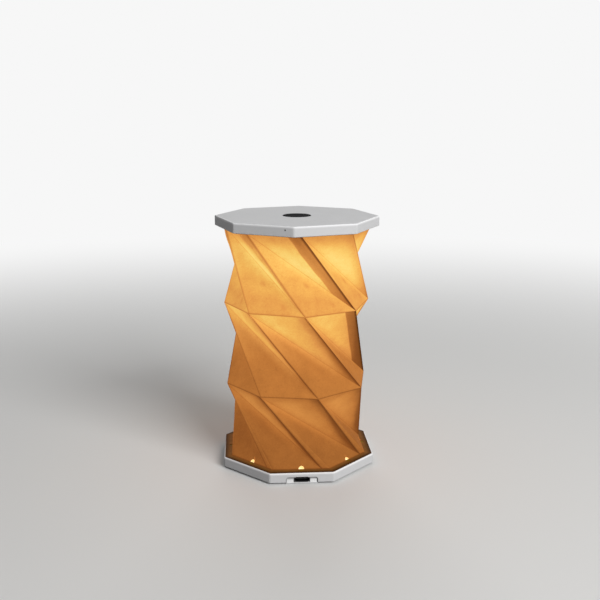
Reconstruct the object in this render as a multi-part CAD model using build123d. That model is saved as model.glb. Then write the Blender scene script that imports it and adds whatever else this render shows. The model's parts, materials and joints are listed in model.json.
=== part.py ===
from build123d import *

# A pleated paper table lamp. Two octagonal plates, a base and a lid, carry a tube of paper folded in
# three twisted tiers. The battery and the charging socket are in the base, the lights and the button
# in the lid. Millimetres, +Z up, the origin on the table under the lamp's middle, the socket towards -Y.
# Angles in a plate are counted from the front (-Y) towards +X.

import os
from math import atan, cos, degrees, radians, sin, tan

# ---- Driving dimensions -------------------------------------------------------------------------
SIDES = 8
STEP = 360 / SIDES
RIGHT_ANGLE = 90

# Plates
ACROSS_FLATS = 86.0        # base and lid, from side to side
PLATE_T = 5.6              # height of each rim
BASE_TURN = 22.5           # a corner of the base, so that a side faces the front
LID_TURN = -5.5            # a corner of the lid
CORNER_R = 2.0             # upright corners of the rims
EDGE_R = 0.5               # long edges of the rims
WALL = 1.6                 # rim's wall
DECK = 1.0                 # flat face of each shell
COVER_T = 1.2              # bottom cover and the lid's inner plate
COVER_GAP = 0.15           # round each of them
FOOT_STAND = 0.8           # rim's lower edge above the table

# Paper
PAPER_T = 0.3              # margins glued to the plates
LEDGE_W = 4.55             # plate's side to the paper
SHADE_WALL = 0.5           # sheet, measured level; its panels lean, so it is thinner across
LOW_TIER_H = 41.4
MIDDLE_TIER_H = 46.0
TOP_TIER_H = 43.2
TIER_TWISTS = (49.0, 55.0, 47.5)      # from the base up
TOP_TURN = 0.0             # a crease's end under the lid
LIGHT_HOLE_D = 3.3         # holes on the fold at the base
FOOT_MARGIN_IN = 0.7       # rim's edge to the lower margin
HEAD_MARGIN_IN = 1.95      # rim's edge to the upper margin
FOLDED_GAP = 9.2           # folded paper between the plates

# Charging socket, a standard oval one, and its notch
SOCKET_W = 8.94
SOCKET_H = 3.2
SOCKET_L = 7.35
SOCKET_WALL = 0.3
SOCKET_GAP = 0.15
SOCKET_RISE = 1.75         # its middle above the rim's lower edge
SOCKET_FLOOR = 1.2         # closed back of the socket
TONGUE_W = 6.7
TONGUE_T = 0.7
TONGUE_L = 4.4
NOTCH_W = 17.8
NOTCH_H = 3.3
NOTCH_DEPTH = 0.8
NOTCH_R = 1.4
SILL_T = 0.5               # tray under the socket
SILL_L = 8.6
SILL_GAP = 0.2             # to the sides of the notch

# Charge board, chips and battery
BOARD_W = 18.0
BOARD_L = 33.5
BOARD_T = 0.8
BOARD_SETBACK = 0.6        # board's front edge behind the rim's inner face
PEG_D = 1.4
PEG_GAP = 0.1
PEG_POST_D = 3.6
PEG_SPACING = 12.6
PEG_BACK = 11.3            # behind the board's front edge
CHIPS = (                  # middle x, middle behind the board's front edge, width, length, height
    (-3.2, 18.8, 4.9, 3.9, 1.5),
    (4.3, 18.3, 4.0, 4.0, 1.6),
    (-4.4, 25.2, 3.0, 3.0, 0.9),
    (4.9, 24.4, 2.9, 1.6, 1.0),
)
BATTERY_W = 50.0
BATTERY_L = 33.0
BATTERY_T = 2.9
BATTERY_R = 1.2
BATTERY_GAP = 1.5          # charge board to battery
TAPE_T = 0.2
TAPE_IN = 6.0              # battery's edge to tape

# Screws: bottom cover, lid plate
SCREW_D = 1.6
SCREW_HEAD_D = 3.4
SCREW_HEAD_T = 0.6
SCREW_L = 3.4              # under the head
SCREW_PLAY = 0.2           # round the shank in the cover, and round the head
PILOT_GAP = 0.05
HEAD_SINK = 0.7            # head's pocket
POST_D = 5.0
POST_IN = 8.0              # plate's side to the screws' circle
SCREW_COUNT = 4

# Feet
FOOT_D = 8.0
FOOT_IN = 8.4              # base's side to the feet's circle
FOOT_SINK = 0.4
FOOT_PLAY = 0.15

# Lead between the plates
LEAD_D = 1.8
LEAD_PLAY = 0.3            # round the lead where it passes through a plate
LEAD_IN = 3.3              # charge board's rear edge to the lead
LEAD_HEAD_TURN = 134.5     # where it enters the lid, beside the diffuser
LEAD_HEAD_GAP = 0.6        # diffuser to lead
LEAD_ENDS = (27.0, 21.5)   # straight lengths at the base and at the lid
LEAD_BOW = ((-3.6, -6.2, 52.0), (-1.6, 3.6, 75.0), (6.4, 9.6, 98.0))
GROMMET_FLANGE_D = 6.4
GROMMET_FLANGE_T = 0.5
GROMMET_WAIST_D = 4.2
GROMMET_GAP = 0.05

# Lights in the lid
LED_BOARD_D = 44.0
LED_BOARD_T = 1.0
LED_BOARD_RISE = 0.9       # above the lid's inner plate
LED_COUNT = 8
LED_RING_R = 9.0
LED_W = 3.5
LED_L = 2.8
LED_T = 0.7
LED_BOARD_POST_D = 4.0
LED_BOARD_POST_R = 18.0
LED_BOARD_SCREWS = 3
LED_BOARD_SCREW_TURN = 90.0
LED_SCREW_HEAD_D = 2.8
LED_SCREW_HEAD_T = 0.5
LED_SCREW_L = 2.2
DIFFUSER_D = 28.0
DIFFUSER_WALL = 1.0
DIFFUSER_DROP = 3.0        # below the lid's inner plate
DIFFUSER_FLANGE_W = 1.6
DIFFUSER_FLANGE_T = 0.6
DIFFUSER_GAP = 0.15

# Button and its switch
BUTTON_D = 16.0
BUTTON_GAP = 0.15
BUTTON_PROUD = 0.2
BUTTON_EDGE_R = 0.4
BUTTON_FLANGE_W = 1.2
BUTTON_FLANGE_T = 0.5
BUTTON_REST_GAP = 0.15     # flange under the lid's deck
BUTTON_POCKET_D = 10.0
BUTTON_POCKET_T = 0.35
BUTTON_TRAVEL = 0.5
SWITCH_W = 4.5
SWITCH_T = 0.6
PLUNGER_D = 1.8
PLUNGER_GAP = 0.15
PLUNGER_CLEAR = 0.05       # left under the plunger at the end of its travel

# Charge indicator
PINHOLE_D = 1.0
PIPE_D = 0.8
PINHOLE_IN = 5.1           # from the lid's front corner
PIPE_SETBACK = 0.3         # pipe's end behind the rim's face
PIPE_RISE = 0.45           # its axis above the LED board
INDICATOR_L = 1.6
INDICATOR_W = 0.8
INDICATOR_T = 0.6
INDICATOR_GAP = 0.2        # to the light pipe
INDICATOR_IN = 0.7         # board's edge to the indicator

# ---- Levels and radii worked out from them ------------------------------------------------------
BASE_LOW = FOOT_STAND
BASE_TOP = BASE_LOW + PLATE_T
DECK_LOW = BASE_TOP - DECK
COVER_TOP = BASE_LOW + COVER_T
BOARD_TOP = COVER_TOP + BOARD_T
SOCKET_Z = BASE_LOW + SOCKET_RISE
SHADE_LOW = BASE_TOP + PAPER_T
TIER_HEIGHTS = (LOW_TIER_H, MIDDLE_TIER_H, TOP_TIER_H)
RING_LEVELS = [SHADE_LOW + sum(TIER_HEIGHTS[:n]) for n in range(len(TIER_HEIGHTS) + 1)]
RING_TURNS = [TOP_TURN + sum(TIER_TWISTS[n:]) for n in range(len(TIER_TWISTS) + 1)]
SHADE_TOP = RING_LEVELS[-1]
LID_LOW = SHADE_TOP + PAPER_T
LID_TOP = LID_LOW + PLATE_T
LID_DECK_LOW = LID_TOP - DECK
PLATE_TOP = LID_LOW + COVER_T
LED_BOARD_LOW = PLATE_TOP + LED_BOARD_RISE
LED_BOARD_TOP = LED_BOARD_LOW + LED_BOARD_T
PIPE_Z = LED_BOARD_TOP + PIPE_RISE
FOLD_TRAVEL = LID_LOW - BASE_TOP - FOLDED_GAP
SHADE_FLATS = ACROSS_FLATS - 2 * LEDGE_W
SHADE_R = SHADE_FLATS / 2 / cos(radians(STEP / 2))
INNER_FLATS = ACROSS_FLATS - 2 * WALL
FRONT = -ACROSS_FLATS / 2
BOARD_FRONT = FRONT + WALL + BOARD_SETBACK
LEAD_FOOT = (0.0, BOARD_FRONT + BOARD_L - LEAD_IN)
LEAD_HEAD_R = DIFFUSER_D / 2 + DIFFUSER_FLANGE_W + LEAD_HEAD_GAP + LEAD_D / 2
POST_R = ACROSS_FLATS / 2 - POST_IN


# ---- Helpers ------------------------------------------------------------------------------------
def around(radius, turn, z=0.0):
    """A point at that distance from the axis and that angle from the front."""
    return Vector(radius * sin(radians(turn)), -radius * cos(radians(turn)), z)


def octagon(across_flats, turn, corner_r=0.0):
    """An octagon with a corner at that angle from the front."""
    radius = across_flats / 2 / cos(radians(STEP / 2))
    sketch = Polygon(*[around(radius, turn + STEP * k) for k in range(SIDES)], align=None)
    return fillet(sketch.vertices(), corner_r) if corner_r else sketch


def slab(sketch, low, high):
    """A sketch raised between two levels."""
    return Pos(0, 0, low) * extrude(sketch, high - low)


def disc(diameter, low, high, place=(0, 0)):
    """An upright cylinder between two levels."""
    return slab(Pos(*place) * Circle(diameter / 2), low, high)


def block(width, length, low, high, place=(0, 0)):
    """An upright box between two levels."""
    return slab(Pos(*place) * Rectangle(width, length), low, high)


def spots(radius, turn, count):
    """Evenly spaced places on a circle, as (x, y)."""
    points = [around(radius, turn + 360 / count * n) for n in range(count)]
    return [(point.X, point.Y) for point in points]


def discs(places, diameter, low, high):
    """An upright cylinder at each place."""
    return [disc(diameter, low, high, place) for place in places]


def fused(pieces):
    """Several solids joined into one."""
    return pieces[0].fuse(*pieces[1:])


def rim(low, turn):
    """A plate's outer form, with its corners and long edges rounded."""
    form = slab(octagon(ACROSS_FLATS, turn, CORNER_R), low, low + PLATE_T)
    edges = form.edges().group_by(Axis.Z)
    return fillet(edges[0] + edges[-1], EDGE_R)


def along_y(sketch, front, back):
    """A sketch of x and z, drawn from one y to another."""
    return extrude(Plane(origin=(0, front, 0), x_dir=(1, 0, 0), z_dir=(0, -1, 0)) * sketch, front - back)


def screw(head_d, head_t, shank_l, head_low):
    """A flat-headed screw pointing up, with its head's face at a level."""
    return disc(head_d, head_low, head_low + head_t) + disc(
        SCREW_D, head_low + head_t, head_low + head_t + shank_l
    )


def screw_pocket(places, low):
    """What a cover loses for its screws' heads and shanks."""
    heads = discs(places, SCREW_HEAD_D + 2 * SCREW_PLAY, low, low + HEAD_SINK)
    shanks = discs(places, SCREW_D + 2 * SCREW_PLAY, low, low + COVER_T)
    return heads + shanks


def screw_posts(places, low, high):
    """Posts that the cover screws drive into, and their pilot holes."""
    posts = discs(places, POST_D, low, high)
    depth = SCREW_HEAD_T + SCREW_L - COVER_T + (HEAD_SINK - SCREW_HEAD_T)
    pilots = discs(places, SCREW_D + 2 * PILOT_GAP, low, low + depth)
    return posts, pilots


def set_of(form, places):
    """Copies of a piece at several places, as separate solids of one node."""
    return Compound(children=[Pos(*place) * form for place in places])


# ---- Base ---------------------------------------------------------------------------------------
BASE_SCREWS = spots(POST_R, BASE_TURN, SCREW_COUNT)
FOOT_PLACES = spots(ACROSS_FLATS / 2 - FOOT_IN, BASE_TURN + STEP, SCREW_COUNT)
PEG_PLACES = [(side * PEG_SPACING / 2, BOARD_FRONT + PEG_BACK) for side in (-1, 1)]


def socket_outline(grow=0.0):
    """The socket's oval, in x and z."""
    return Pos(0, SOCKET_Z) * SlotOverall(SOCKET_W + 2 * grow, SOCKET_H + 2 * grow)


def notch():
    """The shallow notch in the front, open at the bottom, and the socket's way through the wall."""
    low = BASE_LOW - NOTCH_R
    middle = BASE_LOW + (NOTCH_H - NOTCH_R) / 2
    recess = Pos(0, middle) * RectangleRounded(NOTCH_W, NOTCH_H + NOTCH_R, NOTCH_R)
    way_w = SOCKET_W + 2 * SOCKET_GAP
    way = socket_outline(SOCKET_GAP) + Pos(0, (low + SOCKET_Z) / 2) * Rectangle(way_w, SOCKET_Z - low)
    through = FRONT + WALL + SOCKET_GAP
    return along_y(recess, FRONT, FRONT + NOTCH_DEPTH) + along_y(way, FRONT, through)


def base_shell():
    """Octagonal tray, open below, with posts for the cover's screws and pegs for the board."""
    posts, pilots = screw_posts(BASE_SCREWS, COVER_TOP, DECK_LOW)
    stops = discs(PEG_PLACES, PEG_POST_D, BOARD_TOP, DECK_LOW)
    pegs = discs(PEG_PLACES, PEG_D, COVER_TOP + PEG_GAP, DECK_LOW)
    tray = rim(BASE_LOW, BASE_TURN) - slab(octagon(INNER_FLATS, BASE_TURN), BASE_LOW, DECK_LOW)
    hole = disc(GROMMET_WAIST_D + 2 * GROMMET_GAP, DECK_LOW, BASE_TOP, LEAD_FOOT)
    return tray.fuse(*posts, *stops, *pegs).cut(*pilots, hole, notch())


def base_cover():
    """Bottom cover with the tray under the socket and shallow seats for the feet."""
    plate = slab(octagon(INNER_FLATS - 2 * COVER_GAP, BASE_TURN), BASE_LOW, COVER_TOP)
    way_w = SOCKET_W + 2 * SOCKET_GAP
    slot_back = FRONT + NOTCH_DEPTH + SOCKET_L + 2 * SOCKET_GAP
    slot = block(way_w, slot_back - FRONT, BASE_LOW, COVER_TOP, (0, (FRONT + slot_back) / 2))
    sill = block(
        NOTCH_W - 2 * SILL_GAP, SILL_L, BASE_LOW - SILL_T, BASE_LOW, (0, FRONT + EDGE_R + SILL_L / 2)
    )
    seats = discs(FOOT_PLACES, FOOT_D + 2 * FOOT_PLAY, BASE_LOW, BASE_LOW + FOOT_SINK)
    return (plate.cut(slot, *seats, *screw_pocket(BASE_SCREWS, BASE_LOW))).fuse(sill)


def cover_screws(places, low):
    """The four screws of a cover, as separate solids."""
    one = screw(SCREW_HEAD_D, SCREW_HEAD_T, SCREW_L, low + HEAD_SINK - SCREW_HEAD_T)
    return set_of(one, places)


def rubber_feet():
    """Four round pads."""
    foot = disc(FOOT_D, 0, BASE_LOW + FOOT_SINK)
    foot = fillet(foot.edges().group_by(Axis.Z)[0], EDGE_R / 2)
    return set_of(foot, FOOT_PLACES)


def socket_front():
    """The socket's front, just inside the notch."""
    return FRONT + NOTCH_DEPTH


def usb_socket_shell():
    """Thin steel sleeve with a closed back."""
    front = socket_front()
    sleeve = along_y(socket_outline(), front, front + SOCKET_L)
    return sleeve - along_y(socket_outline(-SOCKET_WALL), front, front + SOCKET_L - SOCKET_FLOOR)


def usb_socket_tongue():
    """Contact tongue, standing on the back of the sleeve."""
    back = socket_front() + SOCKET_L - SOCKET_FLOOR
    return block(
        TONGUE_W, TONGUE_L, SOCKET_Z - TONGUE_T / 2, SOCKET_Z + TONGUE_T / 2, (0, back - TONGUE_L / 2)
    )


def charge_board():
    """Board cut out round the socket, with holes for the pegs."""
    board = block(BOARD_W, BOARD_L, COVER_TOP, BOARD_TOP, (0, BOARD_FRONT + BOARD_L / 2))
    cut_back = socket_front() + SOCKET_L + SOCKET_GAP
    cut_out = Pos(0, (BOARD_FRONT + cut_back) / 2) * Rectangle(
        SOCKET_W + 2 * SOCKET_GAP, cut_back - BOARD_FRONT
    )
    cut_out = slab(cut_out, COVER_TOP, BOARD_TOP)
    return board.cut(cut_out, *discs(PEG_PLACES, PEG_D + 2 * PEG_GAP, COVER_TOP, BOARD_TOP))


def charge_chips():
    """The larger chips on the charge board."""
    return Compound(
        children=[
            block(width, length, BOARD_TOP, BOARD_TOP + height, (x, BOARD_FRONT + back))
            for x, back, width, length, height in CHIPS
        ]
    )


def battery_middle():
    """The battery lies just behind the charge board."""
    return BOARD_FRONT + BOARD_L + BATTERY_GAP + BATTERY_L / 2


def battery():
    """Flat pouch cell hung from the deck by its tape."""
    top = DECK_LOW - TAPE_T
    outline = RectangleRounded(BATTERY_W, BATTERY_L, BATTERY_R)
    return slab(Pos(0, battery_middle()) * outline, top - BATTERY_T, top)


def battery_tape():
    """Double-sided tape between the battery and the deck."""
    return block(
        BATTERY_W - 2 * TAPE_IN, BATTERY_L - 2 * TAPE_IN, DECK_LOW - TAPE_T, DECK_LOW, (0, battery_middle())
    )


def lead_grommet():
    """Rubber sleeve where the lead leaves the base."""
    flange_low = DECK_LOW - GROMMET_FLANGE_T
    sleeve = disc(GROMMET_WAIST_D, flange_low, BASE_TOP + GROMMET_FLANGE_T, LEAD_FOOT)
    flanges = [
        disc(GROMMET_FLANGE_D, flange_low, DECK_LOW, LEAD_FOOT),
        disc(GROMMET_FLANGE_D, BASE_TOP, BASE_TOP + GROMMET_FLANGE_T, LEAD_FOOT),
    ]
    bore = disc(LEAD_D + 2 * LEAD_PLAY, flange_low, BASE_TOP + GROMMET_FLANGE_T, LEAD_FOOT)
    return sleeve.fuse(*flanges).cut(bore)


# ---- Paper --------------------------------------------------------------------------------------
def crease_ring(level, scale):
    """The eight crease ends between two tiers, each as a side of its own."""
    turn = RING_TURNS[level]
    return [[around(SHADE_R * scale, turn + STEP * k, RING_LEVELS[level])] for k in range(SIDES)]


def glued_ring(level, plate_turn, scale):
    """An edge glued to a plate: it follows the plate's sides, so each side from one crease's end to the
    next turns a corner. The creases end on the straight stretches."""
    turn, z = RING_TURNS[level], RING_LEVELS[level]
    slip = (turn - plate_turn) % STEP - STEP / 2
    reach = SHADE_FLATS / 2 / cos(radians(slip))
    sides = []
    for k in range(SIDES):
        crease = around(reach * scale, turn + STEP * k, z)
        corner = around(SHADE_R * scale, turn - slip + STEP / 2 + STEP * k, z)
        sides.append([crease, corner])
    return sides


def panel(*points):
    """One flat panel of the paper."""
    return Face(Wire.make_polygon(points, close=True))


def fan(apex, edge):
    """Flat panels from one crease's end to an edge."""
    return [panel(apex, here, after) for here, after in zip(edge, edge[1:])]


def tier_panels(lower, upper):
    """A tier's panels. A mountain crease joins the upper side's start to the lower side's start, and a
    valley crease joins it to the lower side's end."""
    faces = []
    for k in range(SIDES):
        low = lower[k] + lower[(k + 1) % SIDES][:1]
        high = upper[k] + upper[(k + 1) % SIDES][:1]
        faces += fan(high[0], low) + fan(low[-1], high)
    return faces


def folded_form(scale):
    """The closed form that the folded tube bounds, drawn in towards the axis by a scale."""
    top = len(TIER_HEIGHTS)
    rings = [glued_ring(0, BASE_TURN, scale)]
    rings += [crease_ring(level, scale) for level in range(1, top)]
    rings += [glued_ring(top, LID_TURN, scale)]
    faces = [panel(*sum(ring, [])) for ring in (rings[0], rings[-1])]
    for lower, upper in zip(rings, rings[1:]):
        faces += tier_panels(lower, upper)
    return Solid(Shell(faces)).fix()


def light_holes():
    """Pins for the round holes through the paper, centred on the fold at the middle of each lower side."""
    pins = []
    for k in range(SIDES):
        middle = around(SHADE_FLATS / 2, BASE_TURN + STEP / 2 + STEP * k, SHADE_LOW)
        out = Vector(middle.X, middle.Y, 0)
        inner = Plane(origin=middle - out.normalized() * WALL * 2, z_dir=out)
        pins.append(extrude(inner * Circle(LIGHT_HOLE_D / 2), 4 * WALL))
    return pins


def pleated_shade():
    """The folded tube of paper, with a half-round bite for each light hole in its lower edge."""
    tube = folded_form(1.0) - folded_form(1.0 - SHADE_WALL / SHADE_R)
    return tube.cut(*light_holes())


def foot_collar():
    """The sheet's lower margin, turned out and glued to the base."""
    outer = octagon(ACROSS_FLATS - 2 * FOOT_MARGIN_IN, BASE_TURN, CORNER_R)
    ring = slab(outer, BASE_TOP, SHADE_LOW) - slab(
        octagon(SHADE_FLATS - 2 * SHADE_WALL, BASE_TURN), BASE_TOP, SHADE_LOW
    )
    bites = spots(SHADE_FLATS / 2, BASE_TURN + STEP / 2, SIDES)
    return ring.cut(*discs(bites, LIGHT_HOLE_D, BASE_TOP, SHADE_LOW))


def head_collar():
    """The sheet's upper margin, turned out and glued under the lid."""
    outer = octagon(ACROSS_FLATS - 2 * HEAD_MARGIN_IN, LID_TURN)
    inner = octagon(SHADE_FLATS - 2 * SHADE_WALL, LID_TURN)
    return slab(outer, SHADE_TOP, LID_LOW) - slab(inner, SHADE_TOP, LID_LOW)


# ---- Lead ---------------------------------------------------------------------------------------
def lead_head():
    """Where the lead enters the lid, as (x, y)."""
    return spots(LEAD_HEAD_R, LEAD_HEAD_TURN, 1)[0]


def lead_points():
    """The lead's route: straight up out of the base, a loose bow, and straight up into the lid."""
    foot = Vector(*LEAD_FOOT, BOARD_TOP)
    head = Vector(*lead_head(), LED_BOARD_LOW)
    leaves = foot + Vector(0, 0, LEAD_ENDS[0])
    enters = head - Vector(0, 0, LEAD_ENDS[1])
    return [foot, leaves] + [Vector(*point) for point in LEAD_BOW] + [enters, head]


def lead_bends(points):
    """A bend's radius at each inner point: 0.45 of its shorter run over the tangent of half the turn."""
    radii = []
    for before, here, after in zip(points, points[1:], points[2:]):
        run_in, run_out = here - before, after - here
        turn = run_in.get_angle(run_out)
        radii.append(0.45 * min(run_in.length, run_out.length) / tan(radians(turn / 2)))
    return radii


def lamp_lead():
    """Two-core lead in one round sheath, from the charge board up to the LED board."""
    points = lead_points()
    radii = lead_bends(points)
    print("lead bend radii, mm:", [round(radius, 1) for radius in radii])
    path = FilletPolyline(*points, radius=radii)
    start = Plane(origin=points[0], z_dir=points[1] - points[0])
    return sweep(start * Circle(LEAD_D / 2), path=path)


# ---- Lid ----------------------------------------------------------------------------------------
LID_SCREWS = spots(POST_R, LID_TURN + STEP, SCREW_COUNT)
LED_SCREWS = spots(LED_BOARD_POST_R, LED_BOARD_SCREW_TURN, LED_BOARD_SCREWS)


def pipe_line():
    """Start, end and direction of the light pipe: square to the side left of the front corner."""
    side_turn = LID_TURN - STEP / 2
    along = around(1, side_turn + RIGHT_ANGLE)
    out = around(1, side_turn)
    slide = ACROSS_FLATS / 2 * tan(radians(STEP / 2)) - PINHOLE_IN
    start_reach = (LED_BOARD_D**2 / 4 - slide**2) ** 0.5 - INDICATOR_IN + INDICATOR_GAP
    level = Vector(0, 0, PIPE_Z)
    start = along * slide + out * start_reach + level
    end = along * slide + out * (ACROSS_FLATS / 2 - PIPE_SETBACK) + level
    return start, end, out


def lid_shell():
    """Octagonal tray, open below, with the button's hole, posts and the pinhole."""
    posts, pilots = screw_posts(LID_SCREWS, PLATE_TOP, LID_DECK_LOW)
    board_posts = discs(LED_SCREWS, LED_BOARD_POST_D, LED_BOARD_TOP, LID_DECK_LOW)
    depth = LED_SCREW_L - LED_BOARD_T
    board_pilots = discs(LED_SCREWS, SCREW_D + 2 * PILOT_GAP, LED_BOARD_TOP, LED_BOARD_TOP + depth)
    tray = rim(LID_LOW, LID_TURN) - slab(octagon(INNER_FLATS, LID_TURN), LID_LOW, LID_DECK_LOW)
    button_hole = disc(BUTTON_D + 2 * BUTTON_GAP, LID_DECK_LOW, LID_TOP)
    start, _, out = pipe_line()
    pinhole = extrude(Plane(origin=start, z_dir=out) * Circle(PINHOLE_D / 2), ACROSS_FLATS / 2)
    return tray.fuse(*posts, *board_posts).cut(*pilots, *board_pilots, button_hole, pinhole)


def lid_plate():
    """Inner plate that closes the lid, with the diffuser's window and the lead's hole."""
    plate = slab(octagon(INNER_FLATS - 2 * COVER_GAP, LID_TURN), LID_LOW, PLATE_TOP)
    window = disc(DIFFUSER_D + 2 * DIFFUSER_GAP, LID_LOW, PLATE_TOP)
    seat = disc(
        DIFFUSER_D + 2 * (DIFFUSER_FLANGE_W + DIFFUSER_GAP), PLATE_TOP - DIFFUSER_FLANGE_T, PLATE_TOP
    )
    lead_hole = disc(LEAD_D + 2 * LEAD_PLAY, LID_LOW, PLATE_TOP, lead_head())
    return plate.cut(window, seat, lead_hole, *screw_pocket(LID_SCREWS, LID_LOW))


def diffuser():
    """Shallow frosted cup over the lights, hung by its flange."""
    low = LID_LOW - DIFFUSER_DROP
    cup = disc(DIFFUSER_D, low, PLATE_TOP)
    cup = fillet(cup.edges().group_by(Axis.Z)[0], DIFFUSER_DROP * 0.6)
    flange = disc(DIFFUSER_D + 2 * DIFFUSER_FLANGE_W, PLATE_TOP - DIFFUSER_FLANGE_T, PLATE_TOP)
    inside = disc(DIFFUSER_D - 2 * DIFFUSER_WALL, low + DIFFUSER_WALL, PLATE_TOP)
    inside = fillet(inside.edges().group_by(Axis.Z)[0], DIFFUSER_DROP * 0.6 - DIFFUSER_WALL / 2)
    return cup + flange - inside


def led_board():
    """Round board, screwed to three posts in the lid."""
    board = disc(LED_BOARD_D, LED_BOARD_LOW, LED_BOARD_TOP)
    return board.cut(*discs(LED_SCREWS, SCREW_D + 2 * SCREW_PLAY, LED_BOARD_LOW, LED_BOARD_TOP))


def led_board_screws():
    """Three small screws under the LED board."""
    one = screw(LED_SCREW_HEAD_D, LED_SCREW_HEAD_T, LED_SCREW_L, LED_BOARD_LOW - LED_SCREW_HEAD_T)
    return set_of(one, LED_SCREWS)


def leds():
    """A ring of lights facing down."""
    one = block(LED_W, LED_L, LED_BOARD_LOW - LED_T, LED_BOARD_LOW)
    turns = [360 / LED_COUNT * n for n in range(LED_COUNT)]
    return Compound(children=[Rot(0, 0, turn) * Pos(0, -LED_RING_R, 0) * one for turn in turns])


def switch_body():
    """Low push switch under the button, with a bore for its plunger."""
    body = block(SWITCH_W, SWITCH_W, LED_BOARD_TOP, LED_BOARD_TOP + SWITCH_T)
    return body - disc(PLUNGER_D + 2 * PLUNGER_GAP, LED_BOARD_TOP, LED_BOARD_TOP + SWITCH_T)


def button_low():
    """Lower face of the button's flange."""
    return LID_DECK_LOW - BUTTON_REST_GAP - BUTTON_FLANGE_T


def switch_plunger():
    """Plunger between the button and the switch."""
    return disc(
        PLUNGER_D, LED_BOARD_TOP + BUTTON_TRAVEL + PLUNGER_CLEAR, button_low() + BUTTON_POCKET_T
    )


def power_button():
    """Round cap flush in the lid, kept in by its flange."""
    cap = disc(BUTTON_D, button_low(), LID_TOP + BUTTON_PROUD)
    cap = fillet(cap.edges().group_by(Axis.Z)[-1], BUTTON_EDGE_R)
    flange = disc(BUTTON_D + 2 * BUTTON_FLANGE_W, button_low(), button_low() + BUTTON_FLANGE_T)
    pocket = disc(BUTTON_POCKET_D, button_low(), button_low() + BUTTON_POCKET_T)
    return cap + flange - pocket


def indicator_pipe():
    """Clear rod that carries the indicator's light to the pinhole."""
    start, end, out = pipe_line()
    return extrude(Plane(origin=start, z_dir=out) * Circle(PIPE_D / 2), (end - start).length)


def indicator_led():
    """Small light on the LED board's edge, at the end of the light pipe."""
    start, _, out = pipe_line()
    turn = degrees(atan(out.X / -out.Y))
    middle = start - out * (INDICATOR_GAP + INDICATOR_L / 2)
    form = block(INDICATOR_W, INDICATOR_L, LED_BOARD_TOP, LED_BOARD_TOP + INDICATOR_T)
    return Pos(middle.X, middle.Y, 0) * Rot(0, 0, turn) * form


# ---- Nodes --------------------------------------------------------------------------------------
NODES = {
    "base_shell": base_shell,
    "base_cover": base_cover,
    "base_cover_screws": lambda: cover_screws(BASE_SCREWS, BASE_LOW),
    "rubber_feet": rubber_feet,
    "usb_socket_shell": usb_socket_shell,
    "usb_socket_tongue": usb_socket_tongue,
    "charge_board": charge_board,
    "charge_chips": charge_chips,
    "battery": battery,
    "battery_tape": battery_tape,
    "lead_grommet": lead_grommet,
    "foot_collar": foot_collar,
    "pleated_shade": pleated_shade,
    "lamp_lead": lamp_lead,
    "head_collar": head_collar,
    "lid_shell": lid_shell,
    "lid_plate": lid_plate,
    "lid_plate_screws": lambda: cover_screws(LID_SCREWS, LID_LOW),
    "diffuser": diffuser,
    "led_board": led_board,
    "led_board_screws": led_board_screws,
    "leds": leds,
    "indicator_led": indicator_led,
    "indicator_pipe": indicator_pipe,
    "switch_body": switch_body,
    "switch_plunger": switch_plunger,
    "power_button": power_button,
}

os.makedirs("parts", exist_ok=True)
for name, make in NODES.items():
    export_step(make(), f"parts/{name}.step")
print("fold travel, mm:", round(FOLD_TRAVEL, 3), " overall height, mm:", round(LID_TOP + BUTTON_PROUD, 3))
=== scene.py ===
# %% [markdown]
# # A pleated paper table lamp
#
# Two white octagonal plates carry a tube of folded paper. The base holds the battery and the charging
# socket, the lid holds the lights, and the paper glows because it is lit from the inside, from the top.
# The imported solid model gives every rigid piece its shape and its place. This lesson gives those pieces
# their finishes, makes the paper and the lead anew as thin soft things, and works out how bright the
# paper is at each point. All lengths are in metres, +Z is up, and the lamp stands on the floor at z = 0.

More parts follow.
